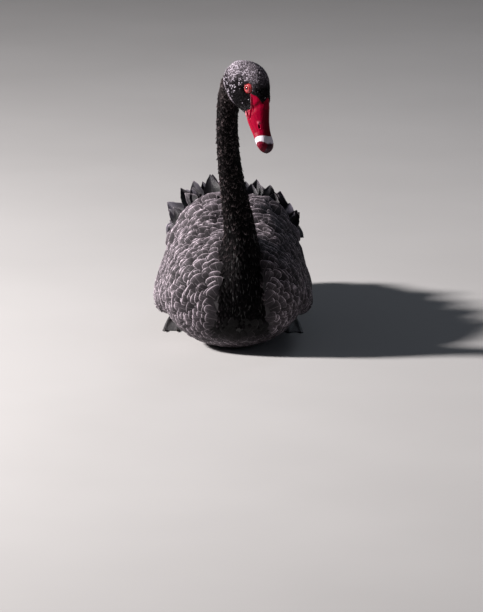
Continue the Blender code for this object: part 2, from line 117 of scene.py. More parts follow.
# The tail: how many feathers, and the outermost root and the middle tip: half spread, y and z.
TAIL_FEATHERS = 13
TAIL_ROOT = (0.018, 0.212, 0.0965)
TAIL_TIP = (0.0400, 0.3125, 0.1065)

# The raised curled feathers: y, degrees round the wing, length, half width, and the way out, back and up.
CURLED_ROWS = (
    (-0.036, 80, 0.042, 0.0115, 0.15, 0.45, 0.90),
    (-0.030, 61, 0.040, 0.0120, 0.30, 0.45, 0.80),
    (-0.020, 47, 0.041, 0.0125, 0.45, 0.45, 0.70),
    (-0.006, 33, 0.042, 0.0125, 0.60, 0.50, 0.40),
    (0.016, 12, 0.038, 0.0115, 0.40, 0.90, 0.16),
    (0.060, 22, 0.040, 0.0120, 0.45, 0.95, 0.30),
    (0.050, 46, 0.043, 0.0125, 0.35, 0.85, 0.55),
    (0.036, 80, 0.042, 0.0125, 0.10, 0.85, 0.60),
    (0.098, 96, 0.044, 0.0115, -0.05, 1.00, 0.42),
    (0.110, 66, 0.046, 0.0120, 0.15, 1.00, 0.42),
    (0.124, 34, 0.044, 0.0115, 0.35, 1.00, 0.28),
    (0.182, 50, 0.046, 0.0110, 0.20, 1.00, 0.26),
    (0.168, 88, 0.048, 0.0110, 0.05, 1.00, 0.32),
)
# Their length on the left and on the right wing, and how much longer they run to the tip.
FRILL_SCALE = {1: 0.84, -1: 1.0}
TIP_RUN = 1.27
# Those rooted above this angle lean out less on the left wing.
LOW_ROOT = 20
FRILL_LEAN = {1: 0.35, -1: 1.0}
# Loose ones beside each, rooted no lower round the wing than this many degrees.
CURLS_BESIDE = {1: 2, -1: 3}
LOWEST_LOOSE_CURL = 16
# How far under the wing's outline they are rooted.
CURL_ROOT_DEPTH = 0.0035

# Where the rings of points stand along a feather, as shares of its length.
BODY_STOPS = np.array([0.0, 0.35, 0.62, 0.77, 0.88, 0.96, 1.0])
SMALL_STOPS = np.array([0.0, 0.35, 0.66, 0.88, 1.0])
LONG_STOPS = np.array([0.0, 0.12, 0.26, 0.40, 0.54, 0.67, 0.79, 0.89, 0.96, 1.0])
CURL_STOPS = np.linspace(0, 1, 12)
# How thick a vane still is at its edges.
EDGE_THICKNESS = 4e-5

# How feathers are spread: places tried for each that is kept, and the cells beside the one a place is in.
TRIES = 5
NEXT_CELLS = [(x, y, z) for x in (-1, 0, 1) for y in (-1, 0, 1) for z in (-1, 0, 1)]
# How much farther apart body feathers stand across their lie than along it.
STRETCH = 7.0
# The low point of the breast, x and z, that its feathers run away from, and the y where its piece ends.
FRONT_MIDDLE = (0.010, 0.050)
BREAST_END = -0.10
# Slow waves in the lie of the body feathers: size along x, y and z, turns for each metre, and start.
WANDER = (
    (np.array([0.14, 0.00, 0.10]), np.array([95.0, 60.0, 40.0]), 0.4),
    (np.array([0.00, 0.08, 0.12]), np.array([-50.0, 110.0, 85.0]), 2.1),
)
# Body feathers: length and half width in spacings, then height of root and tip. Where there are two
# numbers, the second is how much less it is on the belly or low down.
BODY_LENGTH = (6.8, 0.9)
BODY_HALF_WIDTH = (0.60, 0.14)
BODY_ROOT_HEIGHT = 0.0008
BODY_TIP_HEIGHT = (0.0043, 0.0027)
# Feathers of the neck: each size at the neck's foot, and how much less it is at its top.
NECK_SPACING = (0.0033, 0.0011)
NECK_LENGTH = (0.0115, 0.0042)
NECK_HALF_WIDTH = (0.0028, 0.0009)
# Feathers of the head: each size behind the face, and how much less it is on the face.
HEAD_SPACING = 0.00130
HEAD_LENGTH = (0.0044, 0.0017)
HEAD_HALF_WIDTH = (0.00100, 0.0002)
HEAD_TIP_HEIGHT = (0.0016, 0.0008)
# Size of a small feather's patch on the map that each piece is given.
SMALL_PATCH = 0.003
# The share of the neck's line at which its upper piece starts.
NECK_PARTED = 0.42

# The shoulder feathers in front of the curled ones, which stand half raised.
RUFFLE_Y = -0.072
RUFFLE_REACH = 0.034
RUFFLE_LIFT = 0.0125

# The skin: which solids it stands for, how fine it is, and how deep the coat over it is.
FLESH = ("trunk", "neck_lower", "neck_middle", "neck_upper", "head", "wing_left", "wing_right")
SKIN_VOXEL = 0.0026
SKIN_SMOOTHING = 7
BODY_COAT = 0.0030
NECK_COAT = 0.0018
HEAD_COAT = 0.0011
# How far over the floor the lowest feathers stay.
FLOOR_CLEARANCE = 0.0004
# How much darker the skin is painted than the feathers over it: painted shade, so that the gaps between
# feathers read as shadow.
PAINTED_GAP_SHADE = 0.35
# Hollows between the joined solids are filled ahead of this y and between these heights, in so many rounds.
FILLED_AHEAD = -0.10
FILLED_HEIGHTS = (0.06, 0.40)
FILLING_ROUNDS = 50
# Low relief beside the eye: x, z, spread along x and z, and height of the brow, the cheek and the lore.
RELIEF = (
    (0.002, 0.0098, 0.011, 0.0036, 0.0010),
    (-0.010, -0.020, 0.013, 0.010, 0.0008),
    (0.016, 0.001, 0.007, 0.005, -0.0008),
)

# The eye: where its middle is in the head, its size, and how wide the lids stand open.
EYE_PLACE = (0.0012, 0.0136, 0.0015)
EYE_RADIUS = 0.0085
CORNEA_BULGE = 0.0007
OPENING = (0.0041, 0.0037)
PUPIL = 0.0019
IRIS = 0.0041
BARE_EYE = 0.0053
LID_OVER_BALL = 0.0003
SOCKET_DEPTH = 0.0013
SOCKET_EDGE = (0.0035, 0.0062)
# The lid from its free edge outward: steps from the opening and heights over the ball, then, where it
# runs out on the face, distances from the eye's middle and heights over the skin.
LID_STEPS = ((-0.0003, -0.0010), (-0.0001, 0.0003), (0.0004, 0.00075), (0.0010, 0.0007), (0.0016, 0.00015))
LID_SKIRT = ((0.0060, 0.0003), (0.0068, 0.0002), (0.0078, -0.0012))
LID_DEPTH = 0.0018
# How far out the rays start that look for the head's surface.
RAY_START = 0.06

# The dark front of the neck where it runs down over the breast: height, middle x and half width.
STRIPE_ROWS = (
    (0.040, 0.0130, 0.0380),
    (0.092, 0.0128, 0.0349),
    (0.150, 0.0100, 0.0291),
    (0.190, 0.0066, 0.0242),
    (0.230, 0.0021, 0.0223),
)
STRIPE_TOP = 0.235
# How fast the tufts on the neck follow each other along x, y and z.
LUMP_TURNS = (640.0, 520.0, 560.0)
# How far beside the dark front the neck's own feathers reach, where the neck joins the shoulders.
NECK_BESIDE = 0.0035

# Where the bare red skin starts: degrees round the head from the crown, and the x at that angle.
FACE_LINE = (
    (0, 0.0240), (10, 0.0272), (24, 0.0322), (36, 0.0243), (41, 0.0185), (50, 0.0152), (57, 0.0118),
    (62, 0.0088), (66, 0.0122), (72, 0.0160), (81, 0.0212), (90, 0.0260), (105, 0.0284), (123, 0.0284),
    (137, 0.0262), (160, 0.0262),
)
# Turns to each side over which the line is averaged, so that it has no corners.
FACE_LINE_BLUR = (-0.045, -0.015, 0.015, 0.045)
FACE_AXIS_Z = -0.0080
FACE_SPAN = radians(132)
FACE_END = 0.0440
# The slot between bill and mouth corner, sunk in and painted dark as shade, from end to end, and the pale
# bead at that corner. Places in the head's middle plane are x and z.
SLOT = ((0.0300, -0.0108), (0.0420, -0.0204))
SLOT_HALF_WIDTH = 0.0008
GAPE = (0.0322, 0.0128, -0.0234)
GAPE_SIZE = (0.0064, 0.0024, 0.0021)
GAPE_SLOPE = radians(10)
FACE_THICKNESS = 0.0022
# Folds along the edge of the red skin beside the head: distance from the edge, half width and height of the
# pale ridge, the groove and the inner ridge.
FACE_FOLDS = ((0.0010, 0.0008, 0.0006), (0.0031, 0.0011, -0.0009), (0.0056, 0.0014, 0.0007))

# Bill details: nostril, knob beside it, pale band with the sweep of its two edges, nail and edge.
NOSTRIL = (0.0600, -0.0124)
NOSTRIL_SIZE = (0.0036, 0.0015)
NOSTRIL_SLOPE = radians(-16)
# The knob is a small bump that carries a painted highlight.
KNOB = (0.0542, -0.0104)
KNOB_SIZE = (0.0022, 0.0018)
BAND = (0.0775, 0.0893)
BAND_SWEEP = (0.0058, 0.0082)
NAIL_START = 0.0862
NAIL_MIDDLE = 0.0935
NAIL_HALF_WIDTH = 0.0098
BILL_HALF_WIDTH = 0.0145
# The bill's edge: its height on the upper and on the lower half, and the spacing of the teeth along it.
EDGE_HEIGHT = {True: -0.0262, False: -0.0275}
TOOTH_SPACING = 0.0014
# How far from the middle of the bill its sides start, and its steep flanks.
BILL_SIDE = 0.004
BILL_FLANK = 0.006
BILL_VOXEL = 0.00055
# How far the horn round the nail takes the nail's dark colour, which is painted shade.
TIP_PAINTED_SHADE = 0.50

# Legs and claws. The claws' places across the foot are shares of its half width.
LEG_VOXEL = 0.0009
SCUTE_LENGTH = 0.0042
CLAW_LENGTH = 0.0085
CLAW_RADIUS = 0.0022
CLAW_SPREAD = (-0.7998, 0.0, 0.7998)

# The studio: name, place, size, power and colour of each light, and the place they all point to.
LIT_PLACE = (0.0, -0.12, 0.20)
LIGHTS = (
    ("key", (-3.3, -0.60, 2.1), 0.50, 470, (1.0, 0.95, 0.94)),
    ("fill", (2.6, -2.6, 1.4), 2.0, 2.5, (0.70, 0.80, 1.0)),
    ("rim", (1.4, 2.6, 2.6), 1.4, 11, (0.80, 0.88, 1.0)),
)
SKY_COLOUR = (0.80, 0.86, 1.0)
SKY_STRENGTH = 0.055
FLOOR_REACH = 30.0

# Colours, as shares of red, green and blue sent back.
BODY_DARK = (0.052, 0.044, 0.051)
# The neck's black, made darker still by painted shade.
NECK_BLACK_AND_SHADE = (0.0018, 0.0015, 0.0018)
NAPE_DARK = (0.0160, 0.0130, 0.0135)
HEAD_DARK = (0.0036, 0.0031, 0.0037)
# Painted sheen: the pale grey painted on crown and nape, and along the fold over the neck.
CROWN_SHEEN = (0.150, 0.130, 0.150)
CURL_DARK = (0.017, 0.016, 0.022)
FLIGHT_DARK = (0.026, 0.023, 0.028)
PALE_EDGE = (0.74, 0.64, 0.71)
# Brown rims of the neck feathers, made pale as painted highlights on the standing tufts.
NECK_RIM_AND_GLINT = (0.27, 0.215, 0.22)
# Pale tips of head feathers: partly real grey tips, partly painted glints.
HEAD_TIP_AND_GLINT = (0.60, 0.54, 0.62)
RIDGE_PINK = (0.55, 0.14, 0.20)
# Painted shade in the slot and the grooves of the face.
CREASE_SHADE = (0.030, 0.001, 0.003)
WHITE_QUILL = (0.56, 0.54, 0.52)
BILL_RED = (0.22, 0.0003, 0.016)
BILL_DEEP = (0.055, 0.0002, 0.003)
BAND_PALE = (0.66, 0.62, 0.70)
# The nail's colours: painted shade over a nail that is pale in life.
NAIL_SHADE = (0.030, 0.008, 0.014)
BILL_BLOTCH = (0.26, 0.001, 0.020)
BAND_STAIN = (0.58, 0.44, 0.54)
NAIL_SHADE_GREY = (0.075, 0.050, 0.070)
# Painted shade in the nostril's hollow.
NOSTRIL_SHADE = (0.060, 0.001, 0.006)
LID_PINK = (0.38, 0.040, 0.045)
LID_DEEP = (0.20, 0.010, 0.014)
GAPE_PINK = (0.38, 0.055, 0.085)
GAPE_DEEP = (0.26, 0.006, 0.024)
IRIS_RED = (0.26, 0.004, 0.010)
IRIS_DEEP = (0.06, 0.001, 0.003)
IRIS_RING = (0.025, 0.004, 0.004)
BALL_DARK = (0.030, 0.012, 0.012)
PUPIL_BLACK = (0.001, 0.001, 0.001)
LEG_DARK = (0.030, 0.029, 0.031)
LEG_CREASE = (0.075, 0.070, 0.070)
CLAW_DARK = (0.012, 0.010, 0.010)
CLAW_WORN = (0.060, 0.052, 0.048)
FLOOR_LOW = (0.38, 0.375, 0.37)
FLOOR_HIGH = (0.42, 0.415, 0.41)


# Numbers and shapes.


def ease(low, high, value):
    """0 below low, 1 above high and a smooth rise between them."""
    t = np.clip((value - low) / (high - low), 0.0, 1.0)
    return t * t * (3 - 2 * t)


def bell(*offsets):
    """1 where every offset is 0, falling smoothly to nothing as they grow past 1."""
    return np.exp(-sum(np.square(offset) for offset in offsets))


def between(first, second, share):
    """The first where the share is 0, the second where it is 1, and a mix of both between."""
    return np.multiply(first, 1 - share) + np.multiply(second, share)


def less(size, share):
    """A size that loses its second number where the share is 1."""
    return size[0] - size[1] * share


def unit(vectors):
    return vectors / np.maximum(np.linalg.norm(vectors, axis=-1, keepdims=True), 1e-12)


def stacked(*parts):
    """The parts side by side along the last axis of one array, such as the x, y and z of points."""
    return np.stack(np.broadcast_arrays(*parts), axis=-1)


def dense(stations, count):
    """Evenly spaced rows on straight stretches between the stations."""
    rows = np.array(stations, float)
    at = np.linspace(0, len(rows) - 1, count)
    return np.array([np.interp(at, np.arange(len(rows)), column) for column in rows.T]).T


def turned(x, z, slope):
    """Offsets x and z seen along and across a line at that slope."""
    return x * cos(slope) + z * sin(slope), z * cos(slope) - x * sin(slope)


def along_surface(ways, normals):
    """The ways turned so that they lie in the surface."""
    return unit(ways - normals * np.einsum("ij,ij->i", ways, normals)[:, None])


def to_head(points):
    """Points of the frame in the head's own directions."""
    return (np.asarray(points) - np.array(HEAD_PLACE)) @ HEAD_AXES


def from_head(points):
    return np.asarray(points) @ HEAD_AXES.T + np.array(HEAD_PLACE)


def near_head(local, reach=HEAD_REACH):
    return np.linalg.norm(local, axis=1) < reach


NECK_ROWS = dense(NECK_LINE, 240)


def neck_row(share):
    return (share * (len(NECK_ROWS) - 1)).astype(int)


def neck_reach(points):
    """How far along the neck's line each point is, its distance from the line, and the half width there."""
    gaps = np.linalg.norm(points[:, None, :] - NECK_ROWS[None, :, :3], axis=2)
    nearest = gaps.argmin(1)
    return nearest / (len(NECK_ROWS) - 1), gaps.min(1), NECK_ROWS[nearest, 3]


def head_reach(points):
    """How far out in the head's oval each point is: 1 on the fold where the neck starts."""
    x, _, z = (to_head(points) - np.array(HEAD_OVAL_MIDDLE)).T
    across = np.where(x < 0, x / HEAD_OVAL_BACK, x / HEAD_OVAL_FRONT)
    return np.hypot(across, np.where(z < 0, z / HEAD_OVAL_DOWN, z / HEAD_OVAL_UP))


def head_share(points):
    """1 on the head and 0 on the neck, with a short change at the fold between them."""
    return near_head(to_head(points), 0.09) * (1 - ease(0.97, 1.05, head_reach(points)))


# Materials.


class Value:
    """One output of a node, which adds and multiplies like a number."""

    def __init__(self, shader, socket):
        self.shader = shader
        self.socket = socket

    def __add__(self, other):
        return self.shader.math("ADD", self, other)

    def __mul__(self, other):
        return self.shader.math("MULTIPLY", self, other)

    def __rsub__(self, other):
        return self.shader.math("SUBTRACT", other, self)

    def clamped(self):
        """The same value, kept between 0 and 1."""
        self.socket.node.use_clamp = True
        return self


class Shader:
    """One node material, with short ways to add the nodes."""

    def __init__(self, name):
        self.material = bpy.data.materials.new(name)
        self.material.use_nodes = True
        self.tree = self.material.node_tree
        self.surface = next(n for n in self.tree.nodes if n.type == "BSDF_PRINCIPLED")

    def put(self, value, socket):
        if isinstance(value, Value):
            self.tree.links.new(value.socket, socket)
        elif isinstance(value, tuple) and socket.type == "RGBA":
            socket.default_value = (*value, 1.0)
        else:
            socket.default_value = value

    def node(self, kind, inputs, output=0, **settings):
        """Adds a node, fills in its inputs and gives one of its outputs."""
        node = self.tree.nodes.new("ShaderNode" + kind)
        for key, value in settings.items():
            setattr(node, key, value)
        for key, value in inputs.items():
            self.put(value, node.inputs[key])
        return Value(self, node.outputs[output])

    def math(self, operation, *values):
        return self.node("Math", dict(enumerate(values)), operation=operation)

    def mix(self, share, first, second):
        return self.node("Mix", {0: share, 6: first, 7: second}, 2, data_type="RGBA", clamp_factor=True)

    def scale(self, colour, amount):
        """The colour made lighter or darker by an amount that varies."""
        return self.node("VectorMath", {0: colour, "Scale": amount}, operation="SCALE")

    def step(self, low, high, value):
        """0 below low, 1 above high and a smooth rise between them."""
        return self.node("MapRange", {0: value, 1: low, 2: high}, interpolation_type="SMOOTHSTEP")

    def spread(self, low, high, value):
        """A value from 0 to 1 spread between low and high."""
        return self.node("MapRange", {0: value, 3: low, 4: high})

    def read(self, name):
        """A colour or a vector stored on the mesh."""
        return self.node("Attribute", {}, "Vector", attribute_name=name)

    def read_three(self, name):
        """Three numbers stored on the mesh."""
        first = self.node("SeparateXYZ", {0: self.read(name)})
        return [Value(self, socket) for socket in first.socket.node.outputs]

    def place(self):
        return self.node("TexCoord", {}, "Object")

    def noise(self, scale, detail=3.0, vector=None):
        return self.node("TexNoise", {"Scale": scale, "Detail": detail, "Vector": vector or self.place()})

    def cells(self, scale, feature="F1"):
        return self.node("TexVoronoi", {"Vector": self.place(), "Scale": scale}, feature=feature)

    def finish(self, height, depth, strength, **sockets):
        """Adds bumps of that depth, sets sockets such as Base_Color=..., and gives the material."""
        if height:
            bumps = {"Strength": strength, "Distance": depth, "Height": height}
            sockets["Normal"] = self.node("Bump", bumps)
        for key, value in sockets.items():
            self.put(value, self.surface.inputs[key.replace("_", " ")])
        return self.material


def feather_material(name, barbs, edge, pale, shine, roughness=(0.50, 0.70), sparse=-1.0, shown=0.50):
    """A vane with a shaft, slanting barbs, worn splits and a pale rim.

    The rim's width is given in mm, and the share of feathers without one is sparse. The vane is
    dark up to the share of its length that is shown.
    """
    s = Shader(name)
    across, along, chance = s.read_three("vane")
    rim_share, fleck, inside = s.read_three("rim")
    half = s.math("ABSOLUTE", across)
    slant = along * barbs + half * (-barbs * 0.28)
    wander = s.noise(420.0, 2.0) * 1.6
    barb = (s.math("SINE", (slant + wander) * (2 * pi)) + 1.0) * 0.5
    worn = s.step(0.30, 0.62, s.noise(130.0, 4.0))
    strength = s.spread(0.45, 1.15, worn) * s.spread(0.60, 1.35, chance)
    strength = strength * s.step(sparse - 0.2, sparse + 0.2, chance)
    rim = (1.0 - s.step(edge * 0.35, edge, inside)) * s.step(0.35, 0.75, along)
    rim = rim * s.spread(1.0, 0.35, s.step(0.55, 1.0, half))
    rim = (rim * rim_share * strength).clamped()
    streak = s.math("POWER", barb, 3.0) * s.step(0.45, 0.95, along) * rim_share * (strength * 0.20)
    shade = s.spread(0.72, 1.30, barb) * s.spread(0.55, 1.45, chance)
    shade = shade * s.spread(0.38, 1.40, s.step(shown, 0.96, along))
    base = s.scale(s.read("tone"), shade)
    colour = s.mix((rim + streak).clamped(), base, s.scale(pale, s.spread(0.70, 1.05, barb)))
    shaft = 1.0 - s.step(0.015, 0.05, half)
    colour = s.mix(shaft * rim_share * 0.12, colour, pale)
    # Flecks, which on the head are partly pale tips and partly painted glints.
    colour = s.mix(fleck * s.step(0.45, 0.80, along), colour, pale)
    return s.finish(barb + shaft, 0.00012, 0.8, Base_Color=colour, Specular_IOR_Level=shine,
                    Roughness=s.spread(*roughness, s.noise(150.0)))


def skin_material():
    """Down between the feathers, painted dark as the shade in the gaps. The mesh gives the tones."""
    s = Shader("swan_skin")
    down = s.noise(900.0, 4.0)
    return s.finish(down, 0.0006, 0.8, Base_Color=s.scale(s.read("tone"), s.spread(0.45, 1.0, down)),
                    Roughness=s.spread(0.70, 0.92, down), Sheen_Weight=0.15)


def bare_skin_material(name, light, deep):
    """Waxy skin with fine pores and folds."""
    s = Shader(name)
    folds = s.noise(260.0, 4.0)
    colour = s.mix(s.step(0.40, 0.72, folds) * 0.55, light, deep)
    return s.finish(s.cells(1900.0) * 0.5 + folds, 0.00035, 0.75, Base_Color=colour,
                    Roughness=s.spread(0.26, 0.46, folds), Subsurface_Weight=0.08, Subsurface_Scale=0.002)


def face_material():
    """The bare red skin of the face, with a pink ridge along its edge and painted shade in its grooves."""
    s = Shader("face_skin")
    ridge, painted_crease_shade, _ = s.read_three("marks")
    folds = s.noise(240.0, 4.0)
    colour = s.mix(s.step(0.42, 0.74, folds) * 0.6, BILL_RED, BILL_DEEP)
    colour = s.mix(ridge * 0.8, colour, RIDGE_PINK)
    # Painted shade in the grooves and the slot.
    colour = s.mix(painted_crease_shade * 0.9, colour, CREASE_SHADE)
    return s.finish(s.cells(1700.0) * 0.4 + folds, 0.0003, 0.75, Base_Color=colour,
                    Roughness=s.spread(0.26, 0.42, folds), Specular_IOR_Level=0.07)


def bill_material():
    """Waxy red horn with a pale bar before a nail painted dark as shade. The mesh gives the shares of each.
    """
    s = Shader("swan_bill")
    # Painted shade: the nostril's hollow is painted dark.
    bar, nail, nostril_shade = s.read_three("marks")
    culmen_shade, knob, _ = s.read_three("shades")
    long_way = s.node("Mapping", {"Vector": s.read("head_place"), "Scale": (70.0, 420.0, 420.0)})
    grain = s.noise(1.0, 5.0, long_way)
    blotch = s.noise(160.0)
    red = s.mix(s.step(0.45, 0.75, grain) * 0.45, BILL_RED, BILL_DEEP)
    red = s.mix(s.step(0.55, 0.80, blotch) * 0.3, red, BILL_BLOTCH)
    # Painted shade: the culmen is painted a deeper red.
    red = s.mix(culmen_shade * 0.55, red, BILL_DEEP)
    # Painted highlight: the knob beside the nostril is painted pink.
    red = s.mix(knob * 0.55, red, RIDGE_PINK)
    pale = s.mix(s.step(0.42, 0.72, grain) * 0.4, BAND_PALE, BAND_STAIN)
    # The nail and the horn round it are painted dark as shade.
    shaded_nail = s.mix(s.step(0.50, 0.78, blotch), NAIL_SHADE, NAIL_SHADE_GREY)
    colour = s.mix(nostril_shade, s.mix(nail, s.mix(bar, red, pale), shaded_nail), NOSTRIL_SHADE)
    return s.finish(grain + s.cells(1500.0) * 0.35, 0.00022, 0.7, Base_Color=colour,
                    Roughness=s.spread(0.22, 0.36, grain), Specular_IOR_Level=0.07)


def eye_material():
    """A red iris with darker rays round a black pupil, under a wet surface."""
    s = Shader("swan_eye")
    distance, ray, _ = s.read_three("gaze")
    rays = (s.math("SINE", ray * 46.0) + s.noise(900.0)) * 0.35
    iris = s.mix((rays + 0.15).clamped(), IRIS_RED, IRIS_DEEP)
    iris = s.mix(s.step(IRIS * 0.80, IRIS, distance), iris, IRIS_RING)
    ball = s.mix(s.step(IRIS, IRIS * 1.06, distance), iris, BALL_DARK)
    colour = s.mix(s.step(PUPIL * 0.90, PUPIL * 1.08, distance), PUPIL_BLACK, ball)
    return s.finish(rays, 0.00004, 0.3, Base_Color=colour, Roughness=s.spread(0.10, 0.18, s.noise(300.0)),
                    Coat_Weight=0.6, Coat_Roughness=0.02)


def leg_material():
    """Dark scaly skin with a net of paler creases."""
    s = Shader("swan_leg")
    crease = s.step(0.0, 0.10, s.cells(330.0, "DISTANCE_TO_EDGE"))
    worn = s.noise(90.0, 4.0)
    colour = s.mix(crease, LEG_CREASE, s.scale(LEG_DARK, s.spread(0.6, 1.5, worn)))
    return s.finish(crease + worn * 0.6, 0.0006, 0.8, Base_Color=colour,
                    Roughness=s.spread(0.38, 0.62, worn))


def claw_material():
    s = Shader("swan_claw")
    grain = s.noise(500.0, 4.0)
    return s.finish(grain, 0.0001, 0.5, Base_Color=s.mix(grain, CLAW_DARK, CLAW_WORN),
                    Roughness=s.spread(0.24, 0.42, grain))


def floor_material():
    s = Shader("pale_floor")
    mottle = s.noise(3.0)
    return s.finish(None, 0.0, 0.0, Base_Color=s.mix(mottle, FLOOR_LOW, FLOOR_HIGH),
                    Roughness=s.spread(0.75, 0.85, mottle))


# Meshes.


def add_object(name, data):
    thing = bpy.data.objects.new(name, data)
    bpy.context.scene.collection.objects.link(thing)
    return thing


def add_triangles(name, points, triangles, look, slot=None):
    """A new object from arrays of points and triangles, which rides with the bird."""
    mesh = bpy.data.meshes.new(name)
    mesh.vertices.add(len(points))
    mesh.vertices.foreach_set("co", np.asarray(points, np.float32).ravel())
    mesh.loops.add(triangles.size)
    mesh.loops.foreach_set("vertex_index", np.asarray(triangles, np.int32).ravel())
    mesh.polygons.add(len(triangles))
    mesh.polygons.foreach_set("loop_start", np.arange(0, triangles.size, 3, dtype=np.int32))
    mesh.update(calc_edges=True)
    mesh.shade_smooth()
    mesh.materials.append(look)
    piece = add_object(name, mesh)
    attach(piece, "root")
    return piece


def store(piece, name, values):
    """Keeps three numbers for each point of the mesh, for the material to read."""
    kept = piece.data.attributes.new(name, "FLOAT_VECTOR", "POINT")
    kept.data.foreach_set("vector", np.asarray(values, np.float32).ravel())


def rows_of(items, field, kind=np.float32, width=3):
    """One field of all points, edges, triangles or corners of a mesh, a row for each."""
    found = np.empty(len(items) * width, kind)
    items.foreach_get(field, found)
    return found.reshape(-1, width)


def points_of(mesh):
    return rows_of(mesh.vertices, "co").astype(float)


def normals_of(mesh):
    return rows_of(mesh.vertex_normals, "vector").astype(float)


def triangles_of(mesh):
    mesh.calc_loop_triangles()
    return rows_of(mesh.loop_triangles, "vertices", np.int32)


def remeshed(name, nodes, voxel, smoothing):
    """The named solids made one even surface with no seam."""
    work = bmesh.new()
    for node in nodes:
        work.from_mesh(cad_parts[node].data)
    bmesh.ops.remove_doubles(work, verts=work.verts, dist=1e-6)
    mesh = bpy.data.meshes.new(name)
    work.to_mesh(mesh)
    work.free()
    thing = add_object(name, mesh)
    even = thing.modifiers.new("even", "REMESH")
    even.mode = "VOXEL"
    even.voxel_size = voxel
    soft = thing.modifiers.new("soft", "SMOOTH")
    soft.factor = 0.5
    soft.iterations = smoothing
    graph = bpy.context.evaluated_depsgraph_get()
    made = bpy.data.meshes.new_from_object(thing.evaluated_get(graph))
    bpy.data.objects.remove(thing)
    return made


def refine(mesh, chosen):
    """Cuts in four each face of the mesh whose points are all chosen."""
    work = bmesh.new()
    work.from_mesh(mesh)
    work.verts.ensure_lookup_table()
    edges = [e for e in work.edges if chosen[e.verts[0].index] and chosen[e.verts[1].index]]
    bmesh.ops.subdivide_edges(work, edges=edges, cuts=1, use_grid_fill=True)
    bmesh.ops.triangulate(work, faces=[f for f in work.faces if len(f.verts) > 4])
    work.to_mesh(mesh)
    work.free()


def surface_of(mesh):
    return BVHTree.FromPolygons(points_of(mesh).tolist(), triangles_of(mesh).tolist())


def grid_triangles(rows, columns, closed=False):
    """Two triangles for each cell of a grid of points, in rows."""
    found = []
    for i in range(rows - 1):
        for j in range(columns if closed else columns - 1):
            a, b = i * columns + j, i * columns + (j + 1) % columns
            found += [(a, b, b + columns), (a, b + columns, a + columns)]
    return np.array(found)


# Markings.


def beside_stripe(points, wider=0.0):
    """How far each point is from the middle of the neck's dark front, as a share of its half width."""
    heights, middles, halves = np.array(STRIPE_ROWS).T
    middle = np.interp(points[:, 2], heights, middles)
    return np.abs(points[:, 0] - middle) / (np.interp(points[:, 2], heights, halves) + wider)


def lumps(points):
    """Where the neck's small feathers stand up in tufts: 1 on a tuft and 0 between them."""
    x, y, z = (points * LUMP_TURNS).T
    waves = np.sin(x + 2.1 * np.sin(z * 0.31)) * np.sin(z + 1.7 * np.sin(y * 0.53 + x * 0.4))
    return ease(0.05, 0.75, waves)


def breast_stripe(points):
    """1 on the dark front of the neck, which widens down over the breast to the belly."""
    ahead = 1 - ease(-0.205, -0.175, points[:, 1])
    height = ease(0.015, 0.045, points[:, 2]) * (points[:, 2] < STRIPE_TOP + 0.02)
    return (1 - ease(0.97, 1.05, beside_stripe(points))) * ahead * height


def neck_share(points):
    """1 on the neck and on the dark front that runs down from it."""
    share, gap, half = neck_reach(points)
    near = (1 - ease(1.02, 1.25, gap / half)) * ease(0.06, 0.22, share)
    under_top = 1 - ease(STRIPE_TOP - 0.03, STRIPE_TOP, points[:, 2])
    wide = ease(1.0, 1.06, beside_stripe(points, NECK_BESIDE)) * under_top
    return np.maximum(near * (1 - wide), breast_stripe(points))


def fold_share(points):
    """1 along the edge of the head's feathers over the neck, from the nape down to the throat."""
    local = to_head(points)
    low = 1 - ease(-0.016, 0.004, local[:, 2])
    back = 1 - ease(-0.006, 0.012, local[:, 0])
    return bell((head_reach(points) - 0.955) / 0.045) * low * back * near_head(local, 0.07)


def markings(points):
    """The coat's colour, how pale feather rims are, and the chance of a pale fleck, at each point."""
    points = np.asarray(points, float)
    share, _, _ = neck_reach(points)
    head, on_neck, fold = head_share(points), neck_share(points), fold_share(points)
    x, _, z = to_head(points).T
    crown = ease(-0.004, 0.016, z) * (1 - ease(-0.002, 0.016, x))
    nape = (1 - ease(-0.030, -0.014, x)) * ease(-0.030, -0.010, z)
    cheek = (1 - ease(0.004, 0.016, z)) * (1 - ease(-0.008, 0.006, x))
    pale = np.maximum(crown, nape)
    # Painted light: the low front of the breast and belly is painted lighter, as if lit from below.
    painted_low_light = (1 - ease(0.04, 0.12, points[:, 2])) * (1 - ease(-0.16, -0.08, points[:, 1]))
    tone = between(NECK_BLACK_AND_SHADE, NAPE_DARK, ease(0.78, 0.92, share)[:, None])
    tone = between(BODY_DARK, tone, on_neck[:, None]) * (1 + 0.9 * painted_low_light)[:, None]
    # Painted sheen: crown and nape are painted pale, and the fold over the neck is painted paler still as a
    # painted highlight.
    tone = between(tone, between(HEAD_DARK, CROWN_SHEEN, pale[:, None]), head[:, None])
    tone = tone + np.array(CROWN_SHEEN) * (2.0 * fold * head)[:, None]
    high = ease(0.12, 0.24, points[:, 2])
    rim = 1.0 - 0.45 * ease(0.02, 0.20, points[:, 1])
    # On the neck the rims are pale where the tufts stand up, higher on the neck: partly brown rims, partly
    # painted highlights.
    rim = between(rim, 0.02 + (0.06 + 0.34 * lumps(points)) * high, on_neck)
    # Head rims are paler where the sheen is painted.
    rim = between(rim, 0.035 + 0.12 * pale, head)
    # Flecks on the head: partly pale feather tips, partly painted glints.
    fleck = head * (0.30 * pale + 0.19 * cheek + 0.95 * fold + 0.012)
    return tone, rim, np.clip(fleck, 0, 1)


# Skin.


